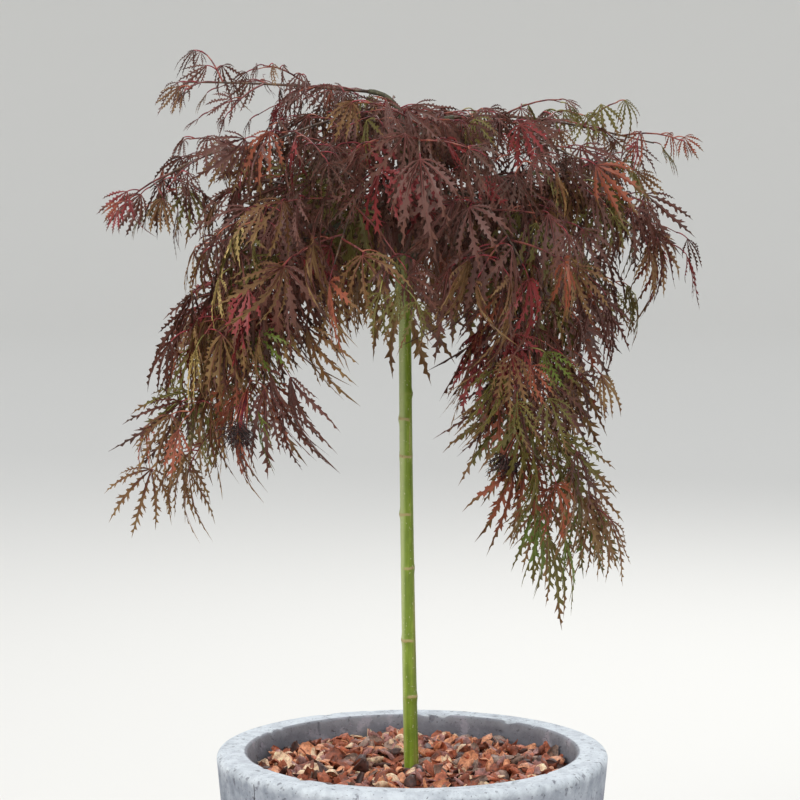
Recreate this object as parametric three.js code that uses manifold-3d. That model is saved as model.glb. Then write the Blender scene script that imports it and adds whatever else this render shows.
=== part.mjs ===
/**
 * A weeping laceleaf maple, grown as a small standard in a round stone-look pot.
 *
 * Millimetres, +Z up. The origin is the middle of the pot's flat underside. +X is to the
 * plant's right seen from its front, and +Y goes away to its back.
 *
 * A slim green stem stands on the potting soil, under a mulch of cocoa shells, and ends in
 * the graft that carries the crown. Seven main limbs arch out of the graft, and the other
 * limbs fork from them. Each limb ends at the crest of its arch, where a mass of foliage
 * takes over: a drooping shoot with pairs of twigs, and hanging five-lobed leaves on them.
 */
import * as THREE from "three";
import { mergeVertices } from "three/addons/utils/BufferGeometryUtils.js";
import Module from "manifold-3d";

const wasm = await Module();
wasm.setup();

// ---------------------------------------------------------------- driving dimensions

const GAP = 0.3; // clear space between neighbouring solids
const CLEAR = 0.5; // clear space round leaves and twigs
const SEED = 1; // another number grows another plant of the same form
const WELD = 1e-3; // corners nearer than this are one corner
const EVEN_OUT = 0.02; // details smaller than this are evened out where solids are fused
const TRACE_STEPS = 10; // straight pieces that stand for a shoot in the tests of space

const POT = {
  height: 300,
  rimRadius: 170,
  footRadius: 142,
  rimWidth: 27,
  floor: 24,
  wallAtFoot: 22,
  rimRound: 7,
  footRound: 5,
  innerRound: 3,
  roundSteps: 2,
  sides: 40,
  drainRadius: 7,
  drainCircle: 70,
  drainSides: 10,
  drains: 3,
};

const SOIL_TOP = 262;
const MULCH = { middle: 287, edge: 279, ripple: 1.1, hole: 9.8, rings: 5, sides: 28 };

const STEM = {
  topHeight: 738,
  lean: -6.5,
  footRadius: 6.4,
  neckRadius: 5.1,
  flareRadius: 9,
  flareHeight: 22,
  graftRadius: 8.2,
  graftFrom: 666,
  graftFull: 702,
  topRound: 9,
  topNarrowing: 3.5,
  knotPitch: 56,
  knotReach: 8,
  knotSwell: 0.55,
  sides: 8,
  rings: 20,
};

const LIMB = {
  mainFoot: 3.3,
  mainTip: 1.9,
  forkFoot: 2.4,
  forkTip: 1.7,
  mainRise: 0.75,
  forkRise: 0.35,
  sides: 5,
  steps: 6,
};

const SHOOT = { foot: 1.5, tip: 0.7, steps: 5, nodePitch: 38, firstNode: 0.25, stagger: 0.06 };

const TWIG = {
  foot: 0.95,
  tip: 0.7,
  steps: 2,
  length: [40, 74],
  roll: [-20, 50],
  split: [50, 78],
  sag: 0.2,
  leafPairAt: [0.4, 0.6],
  lastLeafAt: 0.97,
};

const LEAF = {
  length: 86,
  least: 0.68,
  thickness: 2,
  stalk: 20,
  throughTwig: 3,
  tips: [-86, -43, 0, 43, 86],
  reach: [0.6, 0.86, 1, 0.86, 0.6],
  notch: 0.29,
  backNotch: 0.1,
  droop: 0.16,
  border: 16,
  sway: 0.9,
  turns: [0, 0.35, -0.35, 0.7, -0.7, 1.05, -1.05],
  sizes: [0.86, 1.08],
};

/**
 * The limbs, and the mass of foliage at the end of each. A limb starts on the stem at the
 * height `at`, or on another limb at the share `at` of its length. It goes out at
 * `azimuth`, in degrees from +X towards +Y, to its crest at [radius, height]. From there
 * the mass's shoot droops to its end at [radius, height], turned by `sweep` degrees. Its
 * leaves are `size` times the full length.
 */
const LIMBS = [
  ["right_weeping", "stem", 706, -16, [84, 796], [118, 506], -2, 1],
  ["right_top", "stem", 724, 14, [36, 846], [212, 824], -4, 0.7],
  ["back_top", "stem", 715, 98, [28, 846], [166, 830], 6, 0.85],
  ["left_top", "stem", 733, 168, [38, 868], [196, 876], 4, 0.7],
  ["left_weeping", "stem", 710, 188, [98, 798], [178, 560], 4, 1],
  ["front_left", "stem", 719, 244, [70, 792], [156, 728], 2, 0.95],
  ["front_right", "stem", 700, 300, [70, 786], [158, 728], 4, 0.95],
  ["right_outer", "right_weeping", 0.62, 8, [130, 800], [206, 740], 2, 0.85],
  ["right_inner", "front_right", 0.6, -34, [110, 738], [114, 612], -4, 0.9],
  ["right_back", "right_weeping", 0.4, 46, [96, 780], [184, 690], -4, 1],
  ["back", "back_top", 0.4, 90, [80, 776], [184, 700], 2, 1],
  ["back_left", "left_weeping", 0.4, 134, [96, 780], [190, 690], 2, 1],
  ["left_outer", "left_weeping", 0.62, 172, [140, 820], [226, 786], 4, 0.75],
  ["left_inner", "front_left", 0.6, 208, [108, 744], [140, 612], -4, 0.95],
  ["front_top", "front_right", 0.4, 276, [30, 842], [150, 818], -4, 0.85],
  ["left_front_top", "left_top", 0.4, 220, [36, 846], [156, 826], 2, 0.85],
  ["right_front_top", "right_top", 0.4, 326, [36, 838], [160, 812], 4, 0.85],
].map(([name, from, at, azimuth, crest, end, sweep, size], index) => {
  return { name, from, at, azimuth, crest, end, sweep, size, index };
});

/** Masses whose crest is higher than this hold `more` mm of the space below them. */
const TOP_TIER = { from: 835, more: 14 };

const COLOURS = {
  pot: { color: 0xb4b9bf, roughness: 0.85 },
  soil: { color: 0x3a2a20, roughness: 0.95 },
  mulch: { color: 0x8a5238, roughness: 0.8 },
  stem: { color: 0x5f8a26, roughness: 0.5 },
  limb: { color: 0x3f4a30, roughness: 0.6 },
  foliage: { color: 0x5c3330, roughness: 0.6 },
};

// ---------------------------------------------------------------- small helpers

const UP = new THREE.Vector3(0, 0, 1);
const DEGREE = Math.PI / 180;
const lerp = THREE.MathUtils.lerp;

/** The point at an azimuth in degrees, a radius and a height. */
function around(azimuth, [radius, height]) {
  const angle = azimuth * DEGREE;
  return new THREE.Vector3(radius * Math.cos(angle), radius * Math.sin(angle), height);
}

/** The sum of vectors, each times its own factor: mix([a, 0.5], [b, 0.5]). */
function mix(...terms) {
  const sum = new THREE.Vector3();
  for (const [vector, factor] of terms) sum.addScaledVector(vector, factor);
  return sum;
}

/** A repeatable number from 0 to 1 for any set of whole numbers. */
function chance(...keys) {
  const factors = [12.9898, 78.233, 37.719, 4.581];
  const sum = keys.reduce((total, key, i) => total + key * factors[i], SEED);
  const large = Math.sin(sum) * 43758.5453;
  return large - Math.floor(large);
}

/** A manifold-3d solid from a closed three.js geometry, its corners welded. */
function solidOf(geometry, weld = 1e-4) {
  const bare = geometry.clone();
  bare.deleteAttribute("normal");
  bare.deleteAttribute("uv");
  const merged = mergeVertices(bare, weld);
  return new wasm.Manifold(
    new wasm.Mesh({
      numProp: 3,
      vertProperties: new Float32Array(merged.attributes.position.array),
      triVerts: new Uint32Array(merged.index.array),
    }),
  );
}

/** A three.js geometry from the largest body of a manifold-3d solid, its hollows filled. */
function largestBody(solid) {
  const bodies = solid.decompose().sort((a, b) => b.volume() - a.volume());
  const mesh = bodies[0].getMesh();
  const geometry = new THREE.BufferGeometry();
  geometry.setAttribute("position", new THREE.BufferAttribute(mesh.vertProperties, 3));
  geometry.setIndex(new THREE.BufferAttribute(mesh.triVerts, 1));
  return geometry;
}

/** The geometry of a finished piece: one body, with corners nearer than WELD made one. */
function finished(solid) {
  const geometry = largestBody(solidOf(largestBody(solid), WELD)).toNonIndexed();
  geometry.computeVertexNormals();
  return geometry;
}

/**
 * A tapered rod bent along a curve: a cylinder stood on its end, each ring of which is
 * carried to its place on the curve. `radiusAt` gives the radius at a share of the length.
 */
function rodAlong(curve, radiusAt, sides, steps) {
  const rod = new THREE.CylinderGeometry(1, 1, 1, sides, steps);
  const place = rod.attributes.position;
  const frames = curve.computeFrenetFrames(steps);
  for (let i = 0; i < place.count; i++) {
    const share = place.getY(i) + 0.5;
    const ring = Math.round(share * steps);
    const radius = radiusAt(share);
    const spot = mix(
      [curve.getPointAt(share), 1],
      [frames.normals[ring], radius * place.getX(i)],
      [frames.binormals[ring], -radius * place.getZ(i)],
    );
    place.setXYZ(i, spot.x, spot.y, spot.z);
  }
  return rod;
}

/** The point at a share of the way along the middle of a rod bent along a curve. */
function onRod(curve, share, steps) {
  const ring = Math.min(steps - 1, Math.floor(share * steps));
  const next = curve.getPointAt((ring + 1) / steps);
  return curve.getPointAt(ring / steps).lerp(next, share * steps - ring);
}

const taper = (foot, tip) => (share) => lerp(foot, tip, share);

// ---------------------------------------------------------------- pot, soil and mulch

/** Points of a quarter round between two directions, given in degrees from +radius. */
function quarterRound(radius, height, size, from, to) {
  return Array.from({ length: POT.roundSteps + 1 }, (_, i) => {
    const angle = lerp(from, to, i / POT.roundSteps) * DEGREE;
    return new THREE.Vector2(radius + size * Math.cos(angle), height + size * Math.sin(angle));
  });
}

/** A solid of revolution about Z. The profile runs anticlockwise in radius and height. */
function turned(profile, sides) {
  const lathe = new THREE.LatheGeometry(profile, sides);
  lathe.rotateX(Math.PI / 2);
  return lathe;
}

/** The pot's inner radius at a height: its wall thins evenly from the rim to the floor. */
function potInside(height) {
  const share = (height - POT.floor) / (POT.height - POT.floor);
  return lerp(POT.footRadius - POT.wallAtFoot, POT.rimRadius - POT.rimWidth, share);
}

function pot() {
  const { height, rimRadius, footRadius, rimRound, footRound, innerRound, floor } = POT;
  const inner = rimRadius - POT.rimWidth;
  const profile = [
    new THREE.Vector2(0, 0),
    new THREE.Vector2(footRadius - footRound, 0),
    new THREE.Vector2(footRadius, footRound),
    ...quarterRound(rimRadius - rimRound, height - rimRound, rimRound, 0, 90),
    ...quarterRound(inner + innerRound, height - innerRound, innerRound, 90, 180),
    new THREE.Vector2(potInside(floor), floor),
    new THREE.Vector2(0, floor),
  ];
  let solid = solidOf(turned(profile, POT.sides));
  for (let i = 0; i < POT.drains; i++) {
    const bore = new THREE.CylinderGeometry(POT.drainRadius, POT.drainRadius, 3 * floor, POT.drainSides);
    const at = around((360 / POT.drains) * (i + 0.25), [POT.drainCircle, floor / 2]);
    bore.rotateX(Math.PI / 2).translate(at.x, at.y, at.z);
    solid = solid.subtract(solidOf(bore));
  }
  return finished(solid);
}

function soil() {
  const bottom = POT.floor + GAP;
  const profile = [
    new THREE.Vector2(0, bottom),
    new THREE.Vector2(potInside(bottom) - GAP, bottom),
    new THREE.Vector2(potInside(SOIL_TOP) - GAP, SOIL_TOP),
    new THREE.Vector2(0, SOIL_TOP),
  ];
  return turned(profile, POT.sides);
}

/** The mulch: a ring round the stem's foot, mounded to the middle, its top uneven. */
function mulch() {
  const bottom = SOIL_TOP + GAP;
  const outer = potInside(bottom) - GAP;
  const top = Array.from({ length: MULCH.rings }, (_, i) => {
    const share = i / (MULCH.rings - 1);
    const height = lerp(MULCH.edge, MULCH.middle, share * (2 - share));
    return new THREE.Vector2(lerp(outer, MULCH.hole, share), height);
  });
  const profile = [
    new THREE.Vector2(MULCH.hole, bottom),
    new THREE.Vector2(outer, bottom),
    ...top,
    new THREE.Vector2(MULCH.hole, bottom),
  ];
  const layer = turned(profile, MULCH.sides);
  const place = layer.attributes.position;
  for (let i = 0; i < place.count; i++) {
    const [x, y, z] = [place.getX(i), place.getY(i), place.getZ(i)];
    const wave = Math.sin(x * 0.11 + 1) * Math.cos(y * 0.13) + Math.sin(x * 0.05 - y * 0.07);
    if (z > MULCH.edge - 1) place.setZ(i, z + MULCH.ripple * wave);
  }
  return layer;
}

// ---------------------------------------------------------------- stem and limbs

/** A point of the stem's centre line: its share of the lean, and of the height. */
const onStem = (lean, height) =>
  new THREE.Vector3(STEM.lean * lean, 0, lerp(SOIL_TOP + GAP, STEM.topHeight, height));

/** The stem's centre line: it leans a little to the left and straightens as it rises. */
const stemLine = new THREE.CubicBezierCurve3(
  onStem(0, 0),
  onStem(0.55, 0.33),
  onStem(0.95, 0.66),
  onStem(1, 1),
);

/** The stem's radius: flared at the foot, knotted where buds sat, swollen at the graft. */
function stemRadius(share) {
  const { smoothstep } = THREE.MathUtils;
  const height = lerp(SOIL_TOP, STEM.topHeight, share);
  const above = height - SOIL_TOP;
  const spread = Math.max(0, 1 - above / STEM.flareHeight) ** 2;
  const toKnot = Math.abs(((above / STEM.knotPitch + 0.5) % 1) - 0.5) * STEM.knotPitch;
  const knot = Math.max(0, 1 - toKnot / STEM.knotReach);
  const graft = smoothstep(height, STEM.graftFrom, STEM.graftFull);
  const end = smoothstep(height, STEM.topHeight - STEM.topRound, STEM.topHeight);
  return (
    lerp(STEM.footRadius, STEM.neckRadius, share) +
    (STEM.flareRadius - STEM.footRadius) * spread +
    STEM.knotSwell * knot +
    (STEM.graftRadius - STEM.neckRadius) * graft -
    STEM.topNarrowing * end
  );
}

function stem(extra = 0) {
  return rodAlong(stemLine, (share) => stemRadius(share) + extra, STEM.sides, STEM.rings);
}

/** A limb's centre line: up and out from its root, level where it reaches its crest. */
function limbLine(root, row, rise) {
  const crest = around(row.azimuth, row.crest);
  const out = around(row.azimuth, [1, 0]);
  const across = crest.clone().sub(root);
  const span = across.length();
  const leave = mix([across, 1 / span], [UP, rise]).normalize();
  return new THREE.CubicBezierCurve3(
    root,
    mix([root, 1], [leave, span * 0.42]),
    mix([crest, 1], [out, -span * 0.36], [UP, -span * 0.02]),
    crest,
  );
}

/** A shoot's centre line: on from its limb's tip, then over and down to its end. */
function shootLine(line, row) {
  const onward = line.getTangentAt(1);
  const start = mix([line.getPointAt(1), 1], [onward, GAP]);
  const end = around(row.azimuth + row.sweep, row.end);
  const out = around(row.azimuth + row.sweep, [1, 0]);
  const reach = end.distanceTo(start);
  const drop = Math.max(0, start.z - end.z);
  return new THREE.CubicBezierCurve3(
    start,
    mix([start, 1], [onward, reach * 0.45 - drop * 0.3]),
    mix([end, 1], [UP, drop * 0.5], [out, drop * 0.2 - reach * 0.32]),
    end,
  );
}

/** Adds to each row its limb's and shoot's centre lines and radii, in the table's order. */
function layOut(rows) {
  const laid = new Map();
  for (const row of rows) {
    const main = row.from === "stem";
    const height = (row.at - SOIL_TOP) / (STEM.topHeight - SOIL_TOP);
    const root = main ? stemLine.getPointAt(height) : laid.get(row.from).line.getPointAt(row.at);
    const line = limbLine(root, row, main ? LIMB.mainRise : LIMB.forkRise);
    laid.set(row.name, {
      ...row,
      line,
      shoot: shootLine(line, row),
      foot: main ? LIMB.mainFoot : LIMB.forkFoot,
      tip: main ? LIMB.mainTip : LIMB.forkTip,
    });
  }
  return [...laid.values()];
}

/** A limb's rod, thicker all over by `extra`. */
function limbRod(row, extra = 0) {
  const radius = taper(row.foot + extra, row.tip + extra);
  return solidOf(rodAlong(row.line, radius, LIMB.sides, LIMB.steps));
}

/** A limb, cut clear of the stem's graft and of the limbs laid before it. */
function limb(row, earlier) {
  let solid = limbRod(row).subtract(solidOf(stem(GAP)));
  for (const other of earlier) solid = solid.subtract(limbRod(other, GAP));
  return solid;
}

// ---------------------------------------------------------------- foliage

/** Points spaced evenly along a curve, each with the curve's own radius there. */
function trace(curve, radiusAt, count) {
  return Array.from({ length: count + 1 }, (_, i) => ({
    at: curve.getPointAt(i / count),
    radius: radiusAt(i / count),
  }));
}

/** The distance from a point to a traced curve's surface. */
function clearance(point, traced) {
  const closest = new THREE.Vector3();
  let least = Infinity;
  for (let i = 1; i < traced.length; i++) {
    const piece = new THREE.Line3(traced[i - 1].at, traced[i].at);
    piece.closestPointToPoint(point, true, closest);
    least = Math.min(least, closest.distanceTo(point) - traced[i].radius);
  }
  return least;
}

/**
 * True where no point lies nearer to another mass's shoot than to its own by more than
 * the width of the border zone that neighbouring masses share.
 */
function inOwnSpace(points, own, shoots) {
  return points.every((point) => {
    const near = clearance(point, shoots[own]) - LEAF.border;
    return shoots.every((other, i) => i === own || clearance(point, other) > near);
  });
}

/** True where a solid keeps clear of all the limbs, the stem and the other masses. */
function clearOf(solid, others) {
  return others.every((other) => solid.minGap(other, CLEAR) >= CLEAR);
}

/**
 * One leaf's frame and lobes. The stalk leaves the twig along `way`, and the blade hangs
 * from its end: `axis` runs down the middle lobe, and `side` across the blade, which is
 * turned by `turn` out of the plant's round.
 */
function layLeaf(root, way, turn, length) {
  const palm = mix([root, 1], [way, LEAF.stalk * (length / LEAF.length)]);
  const out = new THREE.Vector3(palm.x, palm.y, 0).normalize().applyAxisAngle(UP, turn);
  const flat = new THREE.Vector3(way.x, way.y, 0);
  const axis = mix([flat, 0.45], [out, 0.3], [UP, -0.85]).normalize();
  const side = new THREE.Vector3().crossVectors(axis, mix([out, 1], [UP, 0.6])).normalize();
  const normal = new THREE.Vector3().crossVectors(axis, side);
  const tips = LEAF.tips.map((angle, i) => {
    const reach = length * LEAF.reach[i];
    const along = mix([axis, Math.cos(angle * DEGREE)], [side, Math.sin(angle * DEGREE)]);
    return mix([palm, 1], [along, reach], [UP, -LEAF.droop * reach]);
  });
  return { root, palm, axis, side, normal, way, length, tips };
}

/** Points down the middle of each lobe. */
function lobePoints(leaf) {
  return leaf.tips.flatMap((tip) => [0, 0.5, 1].map((s) => leaf.palm.clone().lerp(tip, s)));
}

/** A leaf's solid: a low sphere of two rows, its rim drawn out to the tips and notches. */
function leafSolid(leaf) {
  const { palm, axis, side, normal, tips, length, root, way } = leaf;
  const polar = (angle, reach) =>
    mix([palm, 1], [axis, reach * Math.cos(angle * DEGREE)], [side, reach * Math.sin(angle * DEGREE)]);
  const rim = [mix([root, 1], [way, -LEAF.throughTwig])];
  rim.push(polar(LEAF.tips[0] - 45, length * LEAF.backNotch));
  tips.forEach((tip, i) => {
    const next = LEAF.tips[i + 1];
    rim.push(tip);
    if (next !== undefined) rim.push(polar((LEAF.tips[i] + next) / 2, length * LEAF.notch));
  });
  rim.push(polar(LEAF.tips.at(-1) + 45, length * LEAF.backNotch));
  const blank = new THREE.SphereGeometry(1, rim.length, 2);
  const place = blank.attributes.position;
  for (let i = 0; i < place.count; i++) {
    const column = i % (rim.length + 1);
    const row = Math.floor(i / (rim.length + 1));
    const pole = mix([palm, 1], [normal, (1 - row) * (LEAF.thickness / 2)]);
    const spot = row === 1 ? rim[column % rim.length] : pole;
    place.setXYZ(i, spot.x, spot.y, spot.z);
  }
  return solidOf(blank);
}

/** The centre line of the twig on one hand of a shoot's node. */
function twigLine(row, node, hand, share) {
  const at = onRod(row.shoot, share, SHOOT.steps);
  const along = row.shoot.getTangentAt(share);
  const out = around(row.azimuth, [1, 0]);
  const side = new THREE.Vector3().crossVectors(UP, out);
  const outer = new THREE.Vector3().crossVectors(side, along).normalize();
  if (outer.dot(mix([out, 1], [UP, 1])) < 0) outer.negate();
  const roll = lerp(...TWIG.roll, chance(row.index, node, hand, 1)) * DEGREE;
  const split = lerp(...TWIG.split, chance(row.index, node, hand, 2)) * DEGREE;
  const length = lerp(...TWIG.length, chance(row.index, node, hand, 3));
  const spread = mix([side, hand * Math.cos(roll)], [outer, Math.sin(roll)]);
  const way = mix([along, Math.cos(split)], [spread, Math.sin(split)]);
  const end = mix([at, 1], [way, length * 0.94], [UP, -length * TWIG.sag]);
  return new THREE.QuadraticBezierCurve3(at, mix([at, 1], [way, length * 0.55]), end);
}

/** A twig's solid. */
function twigSolid(line) {
  return solidOf(rodAlong(line, taper(TWIG.foot, TWIG.tip), 3, TWIG.steps));
}

/**
 * One mass of foliage as a single solid: the twigs and leaves of the seeded rule on the
 * mass's shoot, with those that don't fit between the other solids left out. A leaf
 * meets nothing but the twig that bears it.
 */
function mass(row, shoots, others) {
  let wood = solidOf(rodAlong(row.shoot, taper(SHOOT.foot, SHOOT.tip), 3, SHOOT.steps));
  let blades = wasm.Manifold.union([]);

  /** Adds a leaf turned and sized so that it fits its space, and says if any way does. */
  function addLeaf(root, way, near, ...keys) {
    const lean = (chance(row.index, ...keys) - 0.5) * LEAF.sway;
    const full = LEAF.length * row.size * lerp(...LEAF.sizes, chance(...keys, row.index));
    for (const length of [full, full * LEAF.least]) {
      for (const turn of LEAF.turns) {
        const leaf = layLeaf(root, way, lean + turn, length);
        if (!inOwnSpace(lobePoints(leaf), row.index, shoots)) continue;
        const blade = leafSolid(leaf);
        if (!clearOf(blade, [...near, blades, ...others])) continue;
        blades = blades.add(blade);
        return true;
      }
    }
    return false;
  }

  /** Adds a twig with a leaf at its end and a pair of leaves on its way, where they fit. */
  function addTwig(node, hand, share) {
    const line = twigLine(row, node, hand, share);
    const path = trace(line, () => 0, 4).slice(1);
    const twig = twigSolid(line);
    if (!inOwnSpace(path.map((spot) => spot.at), row.index, shoots)) return;
    if (!clearOf(twig, [blades, ...others])) return;
    const root = onRod(line, TWIG.lastLeafAt, TWIG.steps);
    let bears = addLeaf(root, line.getTangentAt(1), [wood], node, hand, 4);
    TWIG.leafPairAt.forEach((part, i) => {
      const along = line.getTangentAt(part);
      const cross = new THREE.Vector3().crossVectors(along, UP).normalize();
      const way = mix([along, 0.5], [cross, i ? 0.8 : -0.8], [UP, 0.3]).normalize();
      bears = addLeaf(onRod(line, part, TWIG.steps), way, [wood], node, hand, 5 + 2 * i) || bears;
    });
    if (bears) wood = wood.add(twig);
  }

  const nodes = Math.max(3, Math.round(row.shoot.getLength() / SHOOT.nodePitch));
  for (let node = 0; node < nodes; node++) {
    for (const hand of [-1, 1]) {
      addTwig(node, hand, (node + SHOOT.firstNode + hand * SHOOT.stagger) / nodes);
    }
  }
  addLeaf(onRod(row.shoot, 0.99, SHOOT.steps), row.shoot.getTangentAt(1), [], nodes, 0, 4);
  return wood.add(blades).asOriginal().simplify(EVEN_OUT);
}

// ---------------------------------------------------------------- the whole plant

const plant = new THREE.Group();

function add(name, geometry, look) {
  const mesh = new THREE.Mesh(geometry, new THREE.MeshStandardMaterial({ ...look, metalness: 0 }));
  mesh.name = name;
  plant.add(mesh);
}

add("pot", pot(), COLOURS.pot);
add("soil", soil(), COLOURS.soil);
add("mulch", mulch(), COLOURS.mulch);
add("stem", stem(), COLOURS.stem);

const rows = layOut(LIMBS);
const hold = (row) => (row.crest[1] > TOP_TIER.from ? TOP_TIER.more : 0);
const shoots = rows.map((row) => trace(row.shoot, () => hold(row), TRACE_STEPS));
const others = [solidOf(stem())];
for (const row of rows) {
  const solid = limb(row, rows.slice(0, row.index));
  others.push(solid);
  add(`bough_${row.name}`, finished(solid), COLOURS.limb);
}
for (const row of rows) {
  const solid = mass(row, shoots, others);
  others.push(solid);
  add(`foliage_${row.name}`, finished(solid), COLOURS.foliage);
}

export default plant;
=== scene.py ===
# %% [markdown]
# # A potted weeping laceleaf maple
#
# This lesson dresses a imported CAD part: a young weeping maple, grafted on a slim green
# stem, in a round pot of cast concrete with a mulch of curled shells. The part arrives as
# plain closed solids. Each step below adds one thing that the solids leave out, and says
# what it is on the real plant, how it could be made, and why it is made this way.
#
# Everything is in metres, +Z is up, and the middle of the pot's flat underside is at the
# origin. The plant faces -Y.

import math

import bmesh
import bpy
import numpy as np
from mathutils import Matrix, Vector, noise


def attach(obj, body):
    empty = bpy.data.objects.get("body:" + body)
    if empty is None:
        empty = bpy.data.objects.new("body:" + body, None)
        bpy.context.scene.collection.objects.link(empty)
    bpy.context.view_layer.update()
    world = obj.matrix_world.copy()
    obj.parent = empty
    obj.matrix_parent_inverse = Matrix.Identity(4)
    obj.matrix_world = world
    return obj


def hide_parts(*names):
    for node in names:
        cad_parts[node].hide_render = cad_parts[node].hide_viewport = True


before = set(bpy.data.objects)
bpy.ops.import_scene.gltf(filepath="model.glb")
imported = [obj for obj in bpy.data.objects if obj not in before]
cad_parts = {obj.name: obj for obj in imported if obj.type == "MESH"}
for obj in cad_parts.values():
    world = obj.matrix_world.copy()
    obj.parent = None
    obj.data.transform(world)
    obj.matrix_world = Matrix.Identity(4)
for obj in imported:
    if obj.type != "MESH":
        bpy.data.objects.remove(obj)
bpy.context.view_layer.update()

# %% [markdown]
# ## Camera
#
# The plant is seen from the front and a little above the middle of its crown, from far
# away, so that its lines stay almost parallel. A short lens close by would swell the
# front leaves. A long lens from 2.4 m keeps them true. The focal length is written as it
# was worked out, in picture widths, and turned into millimetres for the camera.

# %% The camera
EYE = Vector((-0.0105, -2.4393, 0.8475))
LOOKS_DOWN = math.radians(5.69)
FOCAL_IN_WIDTHS = 2854 / 800
SENSOR_MM = 36.0

camera_data = bpy.data.cameras.new("camera")
camera_data.sensor_width = SENSOR_MM
camera_data.lens = SENSOR_MM * FOCAL_IN_WIDTHS
camera_data.clip_end = 200.0
camera = bpy.data.objects.new("camera", camera_data)
camera.location = EYE
camera.rotation_euler = (math.pi / 2 - LOOKS_DOWN, 0.0, 0.0)
bpy.context.scene.collection.objects.link(camera)
bpy.context.scene.camera = camera
print("lens:", round(camera_data.lens, 1), "mm")

# %% [markdown]
# ## Light
#
# A plant outdoors under a bright overcast sky has soft shade and no hard shadow. One
# strong sun would give black gaps between the leaves. A pale sky all round, a broad lamp
# high on the left and a weaker one on the right give the soft side light instead, with a
# little rim light from behind so that dark leaves stand off the ground.

# %% Sky and lamps
SKY = (0.93, 0.96, 1.0, 1.0)
SKY_STRENGTH = 0.85
LAMPS_AIM_AT = Vector((0.0, 0.0, 0.6))
LAMPS = {
    "key": {"at": (-2.0, -2.0, 2.6), "across": 1.6, "watts": 62.0, "tint": (1.0, 0.98, 0.95)},
    "fill": {"at": (2.4, -1.6, 1.5), "across": 2.0, "watts": 16.0, "tint": (0.94, 0.97, 1.0)},
    "back": {"at": (0.8, 2.4, 2.4), "across": 1.8, "watts": 34.0, "tint": (1.0, 1.0, 1.0)},
}

world = bpy.data.worlds.new("overcast")
world.use_nodes = True
world.node_tree.nodes["Background"].inputs["Color"].default_value = SKY
world.node_tree.nodes["Background"].inputs["Strength"].default_value = SKY_STRENGTH
bpy.context.scene.world = world
bpy.context.scene.view_settings.view_transform = "Standard"

for name, lamp in LAMPS.items():
    data = bpy.data.lights.new(name, "AREA")
    data.size = lamp["across"]
    data.energy = lamp["watts"]
    data.color = lamp["tint"]
    lit = bpy.data.objects.new(name, data)
    lit.location = lamp["at"]
    aim = LAMPS_AIM_AT - lit.location
    lit.rotation_euler = aim.to_track_quat("-Z", "Y").to_euler()
    bpy.context.scene.collection.objects.link(lit)
print("lamps:", sorted(LAMPS))

# %% [markdown]
# ## Writing a finish
#
# A finish is a small network of nodes. Dragging wires in the editor can't be read back
# as text, so this class lets one socket stand in a Python sum: `1 - mask * 0.5` adds the
# Math nodes by itself. Every other node comes from one method, `node`, which takes the
# node's type, its settings and what goes into its sockets.


# %% A socket in a sum, and a finish
class Wire:
    """A node's output that can be added, multiplied and taken away like a number."""

    def __init__(self, finish, socket):
        self.finish = finish
        self.socket = socket

    def _sum(self, operation, first, second):
        return self.finish.node("ShaderNodeMath", {"operation": operation}, {0: first, 1: second})

    def __add__(self, other):
        return self._sum("ADD", self, other)

    def __mul__(self, other):
        return self._sum("MULTIPLY", self, other)

    def __sub__(self, other):
        return self._sum("SUBTRACT", self, other)

    def __rsub__(self, other):
        return self._sum("SUBTRACT", other, self)

    __radd__ = __add__
    __rmul__ = __mul__


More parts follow.
